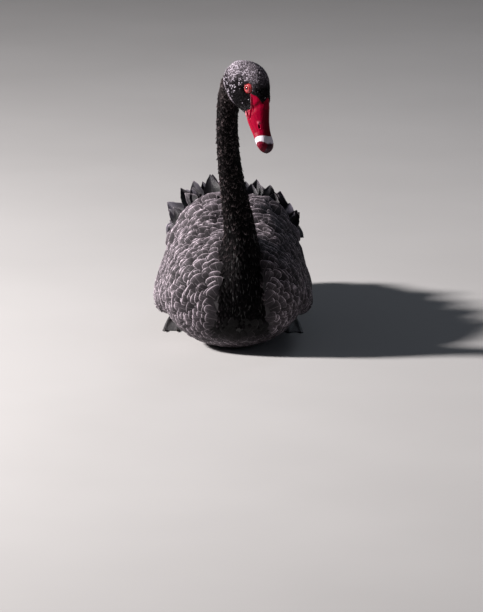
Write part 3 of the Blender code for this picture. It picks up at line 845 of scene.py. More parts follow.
def creases_filled(points, mesh):
    """The points with hollows between the joined solids drawn outward, and nothing drawn in."""
    a, b = rows_of(mesh.edges, "vertices", np.int32, 2).T
    size = len(points)
    count = np.bincount(np.concatenate([a, b]), minlength=size)[:, None]
    normals = normals_of(mesh)
    low, high = FILLED_HEIGHTS
    near = (points[:, 1] < FILLED_AHEAD) & (points[:, 2] > low) & (points[:, 2] < high)
    for _ in range(FILLING_ROUNDS):
        around = [np.bincount(a, axis[b], size) + np.bincount(b, axis[a], size) for axis in points.T]
        outward = np.einsum("ij,ij->i", stacked(*around) / count - points, normals)
        points = points + normals * (np.clip(outward, 0, None) * near * 0.9)[:, None]
    return points


def socket_depth(local):
    """How far the skin sinks round the eye, so that the ball sits in it."""
    away = np.hypot(local[:, 0] - EYE_PLACE[0], local[:, 2] - EYE_PLACE[2])
    return (np.abs(local[:, 1]) > 0.006) * SOCKET_DEPTH * (1 - ease(*SOCKET_EDGE, away))


def brow_height(local):
    """A low ridge over the eye, a soft cheek below it and a hollow lore before it."""
    x, y, z = local.T
    rises = (rise * bell((x - at_x) / long, (z - at_z) / tall) for at_x, at_z, long, tall, rise in RELIEF)
    return ease(0.006, 0.012, np.abs(y)) * sum(rises)


def build_skin(look):
    mesh = remeshed("skin", FLESH, SKIN_VOXEL, SKIN_SMOOTHING)
    refine(mesh, near_head(to_head(points_of(mesh))))
    points = creases_filled(points_of(mesh), mesh)
    mesh.vertices.foreach_set("co", points.astype(np.float32).ravel())
    mesh.update()
    normals = normals_of(mesh)
    share, gap, half = neck_reach(points)
    neck = (1 - ease(1.05, 1.4, gap / half)) * ease(0.05, 0.3, share)
    depth = between(between(BODY_COAT, NECK_COAT, neck), HEAD_COAT, head_share(points))
    local = to_head(points)
    on_head = near_head(local)
    height = on_head * brow_height(local) + FOLD_HEIGHT * fold_share(points) - depth
    points = points + normals * height[:, None]
    inward = np.zeros_like(points)
    inward[:, 1] = -np.sign(local[:, 1]) * socket_depth(local) * on_head
    points = points + inward @ HEAD_AXES.T
    skin = add_triangles("skin", points, triangles_of(mesh), look, "body_feathers")
    # The skin takes the coat's tones, darkened as painted shade between the feathers.
    store(skin, "tone", markings(points)[0] * PAINTED_GAP_SHADE)
    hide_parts(*FLESH)
    return skin


# Vanes.


def blade_triangles(rings, columns):
    """Triangles of a closed thin blade. Each ring runs along the top and back underneath."""
    ring = 2 * columns - 2
    found = grid_triangles(rings, ring, closed=True).tolist()
    for start, flipped in ((0, True), ((rings - 1) * ring, False)):
        for a in range(columns - 1):
            b = a + 1
            c = b if b == columns - 1 else ring - b
            d = a if a == 0 else ring - a
            for face in ((a, b, c), (a, c, d)):
                if len(set(face)) == 3:
                    found.append([start + corner for corner in (face[::-1] if flipped else face)])
    return np.array(found)


def rise_to(widest, root, along):
    """Half width of a vane from its root to its widest place, as a share of the most."""
    return root + (1 - root) * np.sin(np.minimum(along / widest, 1) * pi / 2)


def broad(along, widest=0.50, root=0.40, blunt=2.6):
    """Half width of a rounded vane, as a share of the most."""
    fall = np.sqrt(np.clip(1 - (np.clip(along - widest, 0, 1) / (1 - widest)) ** blunt, 0, 1))
    return np.maximum(rise_to(widest, root, along) * fall, 0.05)


def pointed(along, widest, root, power):
    """Half width of a vane that narrows to a point."""
    fall = 1 - np.clip((along - widest) / (1 - widest), 0, 1) ** power
    return np.maximum(rise_to(widest, root, along) * fall, 0.04)


def blade_points(path, normals, widths, columns, cup, thickness, twist, ragged):
    """Rings of points round thin closed blades, along one centre line for each."""
    count, rings, _ = path.shape
    tangents = unit(np.gradient(path, axis=1))
    side = unit(np.cross(tangents, normals))
    up = np.cross(side, tangents)
    turn = RANDOM.normal(0, twist, (count, 1, 1))
    side, up = side * np.cos(turn) + up * np.sin(turn), up * np.cos(turn) - side * np.sin(turn)
    across = np.linspace(-1, 1, columns)
    wear = 1 + RANDOM.uniform(-ragged, ragged * 0.6, (count, rings, 2))
    reach = widths[:, :, None] * np.where(across < 0, wear[:, :, :1], wear[:, :, 1:]) * across
    sag = -np.reshape(cup, (-1, 1, 1)) * widths[:, :, None] * across**2
    top = path[:, :, None] + side[:, :, None] * reach[..., None] + up[:, :, None] * sag[..., None]
    inner = slice(columns - 2, 0, -1)
    thick = thickness * (1 - across[inner] ** 2) + EDGE_THICKNESS
    under = top[:, :, inner] - up[:, :, None] * thick[:, None]
    points = np.concatenate([top, under], axis=2)
    points[..., 2] = np.maximum(points[..., 2], FLOOR_CLEARANCE)
    return points, np.concatenate([across, across[inner]])


def faces_inward(points, faces, middle):
    """Whether the faces of one blade look in at its middle."""
    first, second, third = points.reshape(-1, 3)[faces].transpose(1, 0, 2) - middle
    return np.einsum("ij,ij->", first, np.cross(second, third)) < 0


def add_vanes(name, path, normals, widths, look, slot, stops, columns, marks=None, chart=None,
              patch=SMALL_PATCH, **shape_of_blades):
    """Thin closed blades as one piece, with what their material reads and their map."""
    count, rings, _ = path.shape
    points, u = blade_points(path, normals, widths, columns, **shape_of_blades)
    shape = points.shape[:3]
    faces = blade_triangles(rings, columns)
    triangles = (faces[None] + (np.arange(count) * rings * len(u))[:, None, None]).reshape(-1, 3)
    if faces_inward(points[0], faces, path[0, 0]):
        triangles = triangles[:, ::-1]
    piece = add_triangles(name, points.reshape(-1, 3), triangles, look, slot)
    piece.data.set_sharp_from_angle(angle=radians(60))
    along = stops[None, :, None]
    vane = stacked(np.broadcast_to(u, shape), along, RANDOM.random(count)[:, None, None])
    tone, rim, fleck = marks or markings(path[:, 0])
    flecks = (RANDOM.random(count) < fleck) * RANDOM.uniform(0.25, 0.95, count)
    lengths = np.linalg.norm(np.diff(path, axis=1), axis=2).sum(1)
    to_side = widths[:, :, None] * (1 - np.abs(u))
    to_tip = lengths[:, None, None] * (1 - along)
    inside = np.minimum(to_side, to_tip) * 1000
    store(piece, "vane", vane)
    store(piece, "tone", np.repeat(tone, rings * len(u), axis=0))
    store(piece, "rim", stacked(rim[:, None, None], flecks[:, None, None], inside))
    add_bake_map(piece, unwrap(path[:, 0]) if chart is None else chart, vane.reshape(-1, 3), patch)
    return piece


def add_bake_map(piece, spots, vane, patch):
    """A small patch for each feather, at its root's place on an unwrap of the skin."""
    low, high = spots.min(0), spots.max(0)
    spots = 0.01 + 0.98 * (spots - low) / np.maximum(high - low, 1e-6)
    spots = np.repeat(spots, len(vane) // len(spots), axis=0)
    at = spots + patch * stacked(vane[:, 0] * 0.5, vane[:, 1] - 0.5)
    corners = rows_of(piece.data.loops, "vertex_index", np.int32, 1).ravel()
    layer = piece.data.uv_layers.new(name="OFBake")
    layer.uv.foreach_set("vector", at[corners].astype(np.float32).ravel())


def unwrap(points):
    """The skin laid flat: round and along the head, the neck or the body."""
    x, y, z = to_head(points).T
    head = head_share(points) > 0.5
    share, gap, half = neck_reach(points)
    neck = (gap < half * 1.2) & ~head
    off = points - NECK_ROWS[neck_row(share), :3]
    found = stacked(np.arctan2(points[:, 0], points[:, 2] - 0.09), points[:, 1] * 12)
    found[neck] = stacked(np.arctan2(off[:, 0], off[:, 1]), share * 6 + 8)[neck]
    found[head] = stacked(np.arctan2(y, z + 0.01), x * 40 + 16)[head]
    return found


def follow(surface, roots, ways, lengths, stops):
    """Centre lines that run over the surface from each root, and the surface's normals there."""
    path = np.zeros((len(roots), len(stops), 3))
    normals = np.zeros_like(path)
    for i, (root, way, length) in enumerate(zip(roots, ways, lengths)):
        point, way, last = Vector(root), Vector(way), 0.0
        for k, stop in enumerate(stops):
            point, normal, _, _ = surface.find_nearest(point + way * ((stop - last) * length))
            way = (way - normal * way.dot(normal)).normalized()
            path[i, k], normals[i, k] = point, normal
            last = stop
    return path, unit(normals + normals.mean(1, keepdims=True))


def raised(path, normals, stops, low, high):
    """The path lifted off the skin, from low at the root to high at the tip."""
    low, high = (np.broadcast_to(given, len(path))[:, None] for given in (low, high))
    return path + normals * (low + (high - low) * stops**1.2)[:, :, None]


def candidates(corners, spacing_of, stretch):
    """Places at random over the triangles, with their normals, many more than will be kept."""
    facing = np.cross(corners[:, 1] - corners[:, 0], corners[:, 2] - corners[:, 0])
    areas = np.linalg.norm(facing, axis=1) / 2
    weight = areas / spacing_of(corners.mean(1)) ** 2
    picks = RANDOM.choice(len(areas), int(weight.sum() * TRIES / stretch), p=weight / weight.sum())
    a, b = RANDOM.random((2, len(picks), 1))
    flip = a + b > 1
    a, b = np.where(flip, 1 - a, a), np.where(flip, 1 - b, b)
    found = corners[picks, 0] * (1 - a - b) + corners[picks, 1] * a + corners[picks, 2] * b
    return found, unit(facing[picks])


def scattered(corners, spacing_of, wanted, lie_of=None, stretch=1.0):
    """Roots spread over the skin, no two closer than the spacing wanted there.

    Where a lie is given, they stand wider apart across it than along it, by the stretch.
    """
    found, normals = candidates(corners[wanted(corners.mean(1))], spacing_of, stretch)
    across = np.zeros_like(found)
    if lie_of:
        across = unit(np.cross(lie_of(found, normals), normals)) * sqrt(1 - 1 / stretch**2)
    spacing = spacing_of(found)
    cells = np.floor(found / (spacing.max() * stretch)).astype(int)
    taken, kept = {}, []
    for i, (place, side, (x, y, z)) in enumerate(zip(found, across, cells)):
        near = [spot for dx, dy, dz in NEXT_CELLS for spot in taken.get((x + dx, y + dy, z + dz), ())]
        if near:
            gaps = np.array(near) - place
            if ((gaps**2).sum(1) - (gaps @ side) ** 2).min() < spacing[i] ** 2:
                continue
        taken.setdefault((x, y, z), []).append(place)
        kept.append(i)
    return found[kept], normals[kept]


# Body coat.


def body_spacing(points):
    """How far apart feathers stand along their lie: close on the breast, wide on the back and rear."""
    y, z = points[:, 1], points[:, 2]
    apart = 0.0027 + 0.0024 * ease(-0.16, 0.0, y) + 0.0014 * ease(0.05, 0.20, y)
    return apart * (1 - 0.15 * (1 - ease(0.03, 0.10, z)))


def body_ways(places, normals):
    """The lie of the body feathers: back along the body, and away from a low point at the front."""
    way = np.zeros_like(places)
    way[:, 1] = 1.0
    way[:, 2] = -0.16 * ease(0.0, 0.8, np.abs(normals[:, 0]))
    front = 1 - ease(-0.225, -0.120, places[:, 1])
    way += front[:, None] * unit(places * [1, 0, 1] - [FRONT_MIDDLE[0], 0, FRONT_MIDDLE[1]]) * 0.9
    way += sum(wave * np.sin(places @ turn + shift)[:, None] for wave, turn, shift in WANDER)
    return along_surface(way, normals)


def build_body_coat(surface, corners, look):
    """Broad overlapping feathers over breast, flanks, wings and belly, in three pieces."""
    places, normals = scattered(corners, body_spacing, lambda p: ~on_small_coat(p), body_ways, STRETCH)
    x, y, z = places.T
    count = len(places)
    apart = body_spacing(places)
    ways = along_surface(body_ways(places, normals) + RANDOM.normal(0, 0.15, places.shape), normals)
    belly, low, rear = 1 - ease(0.010, 0.040, z), 1 - ease(0.035, 0.100, z), ease(0.15, 0.26, y)
    lengths = apart * less(BODY_LENGTH, belly) * RANDOM.uniform(0.78, 1.18, count)
    half_widths = apart * STRETCH * less(BODY_HALF_WIDTH, low) * (1 - 0.5 * rear)
    half_widths = half_widths * RANDOM.uniform(0.70, 1.20, count)
    path, mean = follow(surface, places, ways, lengths, BODY_STOPS)
    under_quills = ease(-0.02, 0.04, y) * ease(0.3, 0.7, np.abs(normals[:, 0]))
    high = less(BODY_TIP_HEIGHT, low) * (1 - 0.6 * under_quills) * RANDOM.uniform(0.50, 1.20, count)
    ruffled = bell((y - RUFFLE_Y) / RUFFLE_REACH) * ease(0.125, 0.175, z)
    high = high + RUFFLE_LIFT * ruffled * RANDOM.uniform(0.7, 1.2, count)
    path = raised(path, mean, BODY_STOPS, BODY_ROOT_HEIGHT, high)
    widths = half_widths[:, None] * broad(BODY_STOPS, widest=0.74, blunt=2.2)
    groups = {"coat_breast": y < BREAST_END, "coat_left": (y >= BREAST_END) & (x >= 0),
              "coat_right": (y >= BREAST_END) & (x < 0)}
    for name, chosen in groups.items():
        add_vanes(name, path[chosen], mean[chosen], widths[chosen], look, "body_feathers", BODY_STOPS,
                  columns=7, cup=RANDOM.uniform(0.08, 0.20, chosen.sum()), thickness=0.00035, twist=0.06,
                  ragged=0.14)


# Neck and head coat.


def face_line(turn):
    """The x where the bare red skin starts, at each angle round the head's line from the crown."""
    degrees, starts = np.array(FACE_LINE).T
    near = [np.interp(np.abs(turn) + shift, np.radians(degrees), starts) for shift in FACE_LINE_BLUR]
    return sum(near) / len(near)


def bare(points):
    """Where no feathers grow: round the eye, and ahead of the line where the red skin starts."""
    local = to_head(points)
    x, y, z = local.T
    eye = (np.hypot(x - EYE_PLACE[0], z - EYE_PLACE[2]) < BARE_EYE) & (np.abs(y) > 0.006)
    return near_head(local) & (eye | (x > face_line(np.arctan2(y, z - FACE_AXIS_Z)) + 0.0002))


def up_neck(share):
    """0 on the neck's foot and 1 on its top, at each share of its line."""
    return ease(0.1, 0.8, share)


def small_spacing(points):
    share, _, _ = neck_reach(points)
    return between(less(NECK_SPACING, up_neck(share)), HEAD_SPACING, head_share(points))


def on_small_coat(points):
    """Where the small feathers of neck and head grow."""
    head = near_head(to_head(points) - [0, 0, -0.008])
    return head | ((neck_share(points) > 0.5) & (points[:, 2] > 0.055))


def neck_way(share):
    """The way down the neck, at each share of its line."""
    return -unit(np.gradient(NECK_ROWS[:, :3], axis=0))[neck_row(share)]


def small_ways(points, normals):
    """Down the neck, and back from the bill over the head, parting round the eye."""
    share, _, _ = neck_reach(points)
    x, y, z = to_head(points).T
    away_x, away_z = x - EYE_PLACE[0], z - EYE_PLACE[2]
    near_eye = bell(np.hypot(away_x, away_z) / 0.0095) * (np.abs(y) > 0.008)
    up = -0.25 * ease(0.004, 0.014, np.abs(y)) + 0.9 * near_eye * np.sign(away_z)
    way = between(neck_way(share), stacked(-1.0, 0.0, up) @ HEAD_AXES.T, head_share(points)[:, None])
    return along_surface(way + RANDOM.normal(0, 0.10, way.shape), normals)


def build_small_coat(surface, corners, neck_look, head_look):
    roots, normals = scattered(corners, small_spacing, lambda p: on_small_coat(p) & ~bare(p))
    ways = small_ways(roots, normals)
    head = head_share(roots)
    face = head * ease(-0.010, 0.020, to_head(roots)[:, 0])
    share, _, _ = neck_reach(roots)
    up = up_neck(share)
    lengths = between(less(NECK_LENGTH, up), less(HEAD_LENGTH, face), head)
    half = between(less(NECK_HALF_WIDTH, up), less(HEAD_HALF_WIDTH, face), head)
    path, mean = follow(surface, roots, ways, lengths * RANDOM.uniform(0.85, 1.15, len(roots)), SMALL_STOPS)
    high = between(0.0009 + 0.0016 * lumps(roots), less(HEAD_TIP_HEIGHT, face), head)
    low = 0.0002 + 0.0007 * head * (1 - face)
    path = raised(path, mean, SMALL_STOPS, low, high * RANDOM.uniform(0.5, 1.4, len(roots)))
    widths = half[:, None] * broad(SMALL_STOPS, root=0.7, blunt=2.2)
    groups = {
        "coat_head": (head > 0.5, head_look, "head_feathers"),
        "coat_neck_upper": ((head <= 0.5) & (share > NECK_PARTED), neck_look, "neck_feathers"),
        "coat_neck_lower": ((head <= 0.5) & (share <= NECK_PARTED), neck_look, "neck_feathers"),
    }
    for name, (chosen, look, slot) in groups.items():
        add_vanes(name, path[chosen], mean[chosen], widths[chosen], look, slot, SMALL_STOPS, columns=3,
                  cup=0.35, thickness=0.00012, twist=0.13, ragged=0.06)


# Wings and tail.


def wing_point(y, degrees, side):
    """A point of the wing's outline: a squarish round that leans in over the back."""
    rows = np.array(WING_STATIONS)
    _, x_middle, z_middle, half_width, half_height = (np.interp(y, rows[:, 0], column) for column in rows.T)
    power = 2 / WING_SQUARENESS
    turn = radians(degrees)
    x = np.sign(cos(turn)) * abs(cos(turn)) ** power
    rise = np.sign(sin(turn)) * abs(sin(turn)) ** power * half_height
    across = max(x_middle + x * half_width - WING_LEAN * rise, HALF_VALLEY)
    return np.array([side * across, y, z_middle + rise])


def over_wing(surface, spots, lifts):
    """A centre line over the wing at the spots, lifted off it, and the way that the vane faces there."""
    near = np.array([surface.find_nearest(Vector(spot))[:2] for spot in spots])
    normals = near[:, 1]
    return near[:, 0] + normals * np.reshape(lifts, (-1, 1)), unit(normals + normals.mean(0))


def add_quills(name, quills, look, tone, rim, stops, patch, per_row, **shape):
    """Long feathers of one kind, from a centre line, facings and half widths for each."""
    path, normals, widths = (np.array(part) for part in zip(*quills))
    order = np.arange(len(path))
    chart = stacked(order % per_row, order // per_row).astype(float)
    marks = (np.broadcast_to(tone, (len(path), 3)), np.broadcast_to(rim, len(path)), np.zeros(len(path)))
    return add_vanes(name, path, normals, widths, look, "wing_feathers", stops, marks=marks, chart=chart,
                     patch=patch, **shape)


def flight_quills(surface, side):
    """The big quills, laid over the wing's side and rear, narrowing to its tip."""
    for count, *runs, lift in FLIGHT_LAYERS:
        for k in range(count):
            y, degrees, tip_y, tip_degrees, half = (start + run * (k / (count - 1)) for start, run in runs)
            spots = [wing_point(y + (tip_y - y) * stop, degrees + (tip_degrees - degrees) * stop, side)
                     for stop in LONG_STOPS]
            line, facing = over_wing(surface, spots, 0.001 + lift * LONG_STOPS**0.7)
            yield line, facing, half * pointed(LONG_STOPS, widest=0.55, root=0.6, power=2.6)


def white_quills(surface, side):
    """The white outer quills, of which only the ends show under the wing's tip."""
    for k in range(WHITE_QUILLS):
        ys = WHITE_START + 0.006 * k + (WHITE_RUN + 0.004 * k) * LONG_STOPS
        spots = [wing_point(min(y, WING_STATIONS[-1][0]), WHITE_DEGREES + 8 * k, side) for y in ys]
        line, facing = over_wing(surface, spots, 0.0012 + 0.0012 * k)
        line[:, 1] = np.maximum(line[:, 1], ys)
        yield line, facing, 0.0058 * pointed(LONG_STOPS, widest=0.5, root=0.7, power=3.2)


def curl_line(root, side, length, way):
    """The centre line of a feather that leaves its root along the body and curls up and over."""
    along = np.array([0.0, 1.0, 0.0])
    way = unit(way * [side, 1, 1])
    across = unit(np.cross(along, way))
    headings = unit(along + (way - along) * np.minimum(1.0, 0.45 + 0.8 * CURL_STOPS)[:, None])
    line = [np.array(root)]
    for heading in headings[:-1]:
        line.append(line[-1] + heading * length / (len(CURL_STOPS) - 1))
    return np.array(line), unit(np.cross(across, headings))


def build_frill(name, side, look):
    """The raised feathers: the big ones of each row, with smaller loose ones beside them."""
    quills, cups = [], []
    for y, degrees, length, half, *way in CURLED_ROWS:
        for k in range(CURLS_BESIDE[side] + 1):
            shrink, move, turn, stray = 1.0, 0.0, degrees, 0.0
            if k > 0:
                shrink, move = RANDOM.uniform(0.66, 0.92), RANDOM.normal(0, 0.011)
                turn = max(degrees + RANDOM.normal(0, 8.0), LOWEST_LOOSE_CURL)
                stray = RANDOM.normal(0, 0.16, 3)
            root = wing_point(y + move, turn, side) - np.array([0, 0, CURL_ROOT_DEPTH])
            lean = np.array(way) * [FRILL_LEAN[side] if degrees > LOW_ROOT else 1.0, 1.0, 1.0] + stray
            line, facing = curl_line(root, side, length * FRILL_SCALE[side] * shrink * TIP_RUN, lean)
            cups.append(RANDOM.uniform(-0.75, -0.15))
            width = half * shrink * 1.12 * pointed(CURL_STOPS, widest=0.42, root=0.55, power=1.85)
            quills.append((line, facing, width))
    shades = RANDOM.choice([0.5, 0.9, 1.9], len(quills), p=[0.45, 0.35, 0.20])
    rims = RANDOM.uniform(0.15, 0.80, len(quills))
    tones = np.array(CURL_DARK) * shades[:, None]
    piece = add_quills(name, quills, look, tones, rims, stops=CURL_STOPS, patch=0.09, per_row=9,
                       columns=7, cup=cups, thickness=0.0004, twist=0.30, ragged=0.14)
    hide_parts(name.replace("coat_frill", "frill"))


def tail_quills():
    """A short fan of broad tail feathers, the middle one on top."""
    for k in range(TAIL_FEATHERS):
        step = k - TAIL_FEATHERS // 2
        across = step / (TAIL_FEATHERS // 2)
        root = np.array(TAIL_ROOT) * [across, 1, 1] - [0, 0, 0.004 * abs(across)]
        tip = np.array(TAIL_TIP) * [across, 1, 1]
        tip = tip - [0, 0.016 * across**2, 0.010 * across**2 + 0.0016 * abs(across)]
        line = root + (tip - root) * LONG_STOPS[:, None]
        line[:, 2] += 0.003 * np.sin(pi * LONG_STOPS)
        line[:, 2] -= 0.0007 * abs(step)
        facing = unit(np.tile([0.30 * across, 0.0, 1.0], (len(LONG_STOPS), 1)))
        yield line, facing, 0.0095 * broad(LONG_STOPS, widest=0.72, root=0.5)


def build_tail(look):
    piece = add_quills("coat_tail", tail_quills(), look, FLIGHT_DARK,
                       rim=0.45, stops=LONG_STOPS, patch=0.18, per_row=4,
                       columns=7, cup=0.05, thickness=0.0005, twist=0.02, ragged=0.03)
    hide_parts("tail")


# Bill and face.


def slot_share(x, z):
    """1 in the slot between the bill's base and the fleshy corner of the mouth, which is sunk in and painted
    dark as shade.
    """
    (start_x, start_z), (end_x, end_z) = SLOT
    length = np.hypot(end_x - start_x, end_z - start_z)
    run, off = turned(x - start_x, z - start_z, np.arctan2(end_z - start_z, end_x - start_x))
    return bell(off / SLOT_HALF_WIDTH) * ease(-0.002, 0.001, run) * (1 - ease(length - 0.002, length, run))


def bill_shape(local, normals, upper):
    """Local points with nostrils, nail and toothed edge, and the shares that the material reads.

    These are the bar, the nail with its horn and the nostril, whose dark colours are painted shade, and then
    the culmen's painted shade and the knob's painted highlight.
    """
    x, y, z = local.T
    half = np.abs(y)
    side = (half > BILL_SIDE) * upper
    flank = half > BILL_FLANK
    run, rise = turned(x - NOSTRIL[0], z - NOSTRIL[1], NOSTRIL_SLOPE)
    from_hole = np.hypot(run / NOSTRIL_SIZE[0], rise / NOSTRIL_SIZE[1])
    hole = (1 - ease(0.45, 1.05, from_hole)) * side
    rim = bell((from_hole - 1.35) / 0.30) * side
    knob = bell((x - KNOB[0]) / KNOB_SIZE[0], (z - KNOB[1]) / KNOB_SIZE[1]) * side
    top, bottom = (x - edge + sweep * (half / BILL_HALF_WIDTH) ** 2 for edge, sweep in zip(BAND, BAND_SWEEP))
    bar = ease(-0.0007, 0.0007, top) * (1 - ease(-0.0008, 0.0008, bottom))
    nail_gap = np.hypot((x - NAIL_MIDDLE) / (NAIL_MIDDLE - NAIL_START), half / NAIL_HALF_WIDTH) - 1
    nail = 1 - ease(-0.42, 0.05, nail_gap)
    teeth = bell((z - EDGE_HEIGHT[upper]) / 0.0020) * ease(0.036, 0.046, x) * flank
    crease = bell((z + 0.0205) / 0.0012) * (1 - ease(0.050, 0.085, x)) * upper * flank
    height = -0.0022 * hole + 0.00028 * rim + 0.0008 * knob
    height = height + upper * (0.00065 * nail - 0.00035 * bell(nail_gap / 0.10))
    height = height + 0.00012 * np.sin(x * 2 * pi / TOOTH_SPACING) * teeth
    height = height - 0.00030 * crease - 0.0022 * slot_share(x, z) * flank
    tucked = 0.0016 * (1 - ease(0.0300, 0.0400, x))
    shaped = local + normals * (height[:, None] - tucked[:, None] * [0, 1, 1])
    shaped[:, 0] -= 0.0035 * (1 - ease(0.0300, 0.0325, x))
    # Painted shade spreads from the nail over the horn past the band.
    tip = TIP_PAINTED_SHADE * ease(-0.0010, 0.0012, bottom)
    # The culmen's share of painted shade.
    culmen_shade = (1 - ease(0.0030, 0.0095, half)) * upper
    return shaped, stacked(bar, np.maximum(nail, tip) * upper, hole), stacked(culmen_shade, knob, 0.0)


def build_bill(name, node, upper, look):
    mesh = remeshed(name, [node], BILL_VOXEL, 5)
    shaped, marks, shades = bill_shape(to_head(points_of(mesh)), normals_of(mesh) @ HEAD_AXES, upper)
    piece = add_triangles(name, from_head(shaped), triangles_of(mesh), look, "bill")
    store(piece, "marks", marks)
    store(piece, "head_place", shaped)
    store(piece, "shades", shades)
    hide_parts(node)
    return piece


def slab_triangles(rows, columns):
    """Triangles of a closed slab: a grid of outer points, then the same grid of inner points."""
    top = grid_triangles(rows, columns)
    rim = [i * columns for i in range(rows)] + [(rows - 1) * columns + j for j in range(1, columns)]
    rim += [i * columns + columns - 1 for i in range(rows - 2, -1, -1)] + list(range(columns - 2, 0, -1))
    rim = np.array(rim)
    after = np.roll(rim, -1)
    count = rows * columns
    wall = np.concatenate([stacked(rim, after, after + count), stacked(rim, after + count, rim + count)])
    return np.concatenate([top, top[:, ::-1] + count, wall[:, ::-1]])


def face_radius(surfaces, x, turn):
    """How far the outermost of the surfaces is from the face's axis at this place and angle."""
    out = np.array([0.0, sin(turn), cos(turn)])
    start = Vector(from_head(np.array([x, 0.0, FACE_AXIS_Z]) + out * RAY_START))
    way = Vector(HEAD_AXES @ -out)
    gaps = [hit[3] for hit in (surface.ray_cast(start, way) for surface in surfaces) if hit[0] is not None]
    return RAY_START - min(gaps) if gaps else 0.012


def face_heights(x, z, turn, depth):
    """The bare skin's relief: how far it stands out, and the shares of its pale ridge and of the painted
    shade in its grooves.
    """
    degrees = np.degrees(abs(turn))
    beside = ease(60, 68, degrees) * (1 - ease(92, 110, degrees))
    folds = [bell((depth - at) / half) * beside for at, half, _ in FACE_FOLDS]
    slot = slot_share(x, z) * (1 - ease(FACE_END - 0.004, FACE_END, x))
    swell = np.sqrt(np.clip(depth / 0.0016, 0, 1))
    height = between(0.0004, 0.0014 * swell, 1 - ease(0.0330, FACE_END, x)) - 0.0007
    height = height + sum(rise * fold for fold, (_, _, rise) in zip(folds, FACE_FOLDS)) - 0.0012 * slot
    return height, folds[0], np.maximum(folds[1] * 0.75, slot)


def face_reach(surfaces, turns, xs):
    """The smooth outer radius of head and bill together, with the dip where they join filled."""
    reach = np.array([[face_radius(surfaces, x, turn) for turn in turns] for x in xs])
    for _ in range(24):
        between_rows = reach.copy()
        between_rows[1:-1] = (reach[:-2] + reach[2:]) / 2
        reach = np.maximum(reach, between_rows)
    for _ in range(3):
        reach[1:-1] = (reach[:-2] + 2 * reach[1:-1] + reach[2:]) / 4
        reach[:, 1:-1] = (reach[:, :-2] + 2 * reach[:, 1:-1] + reach[:, 2:]) / 4
    return reach


def build_face_skin(surfaces, look):
    """The bare red skin: a collar round the bill's base that runs back to a point at each eye."""
    columns, steps, rows = 361, 80, 60
    turns = np.linspace(-FACE_SPAN, FACE_SPAN, columns)
    xs = np.linspace(0.0080, FACE_END, steps)
    reach = face_reach(surfaces, turns, xs)
    outer = np.zeros((rows, columns, 3))
    inner, marks = np.zeros_like(outer), np.zeros_like(outer)
    for j, turn in enumerate(turns):
        start = face_line(turn)
        places = np.linspace(start, FACE_END, rows)
        radius = np.interp(places, xs, reach[:, j])
        height, ridge, painted_crease_shade = face_heights(places, FACE_AXIS_Z + radius * cos(turn), turn, places - start)
        marks[:, j] = stacked(ridge, painted_crease_shade, 0.0)
        for layer, away in ((outer, radius + height), (inner, radius + height - FACE_THICKNESS)):
            layer[:, j] = stacked(places, away * sin(turn), FACE_AXIS_Z + away * cos(turn))
    both = np.concatenate([outer.reshape(-1, 3), inner.reshape(-1, 3)])
    piece = add_triangles("face_skin", from_head(both), slab_triangles(rows, columns), look, "bill")
    store(piece, "marks", np.stack([marks, np.zeros_like(marks)]))


def add_bead(name, side, look):
    """The pale fleshy corner of the mouth."""
    work = bmesh.new()
    bmesh.ops.create_icosphere(work, subdivisions=4, radius=1.0)
    points = np.array([v.co for v in work.verts])
    triangles = np.array([[v.index for v in f.verts] for f in work.faces])
    work.free()
    ripple = 1 + 0.07 * np.sin(points[:, 0] * 9) * np.cos(points[:, 2] * 4)
    x, y, z = (points * np.array(GAPE_SIZE) * ripple[:, None]).T
    x, z = turned(x, z, GAPE_SLOPE)
    bead = stacked(x, y, z) + np.array(GAPE) * [1, side, 1]
    add_triangles(name, from_head(bead), triangles, look, "bill")


# Eyes.


def dome(side, rings, segments, widest):
    """Unit directions over an eye, ring by ring from the middle of the pupil."""
    tilt = np.linspace(0.0, widest, rings)[:, None]
    turn = np.linspace(0, 2 * pi, segments, endpoint=False)
    return stacked(np.sin(tilt) * np.cos(turn), side * np.cos(tilt), np.sin(tilt) * np.sin(turn))


def build_eye(name, node, side, look):
    rings, segments = 44, 56
    out = dome(side, rings, segments, pi * 0.999)
    off_axis = np.hypot(out[..., 0], out[..., 2]) * EYE_RADIUS
    front = out[..., 1] * side > 0
    bulge = CORNEA_BULGE * (1 - ease(0.0, IRIS * 1.1, off_axis)) * front
    local = np.array(EYE_PLACE) * [1, side, 1] + out * (EYE_RADIUS + bulge)[..., None]
    triangles = grid_triangles(rings, segments, closed=True)
    piece = add_triangles(name, from_head(local.reshape(-1, 3)), triangles[:, ::side], look, "eye")
    turn = np.arctan2(out[..., 2], out[..., 0])
    store(piece, "gaze", stacked(np.where(front, off_axis, EYE_RADIUS), turn, 0.0))
    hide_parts(node)


def ball_height(lift, away):
    """How far out a shell at that height over the ball stands, at a distance from the eye's middle."""
    return sqrt(max((EYE_RADIUS + lift) ** 2 - away**2, 0.0))


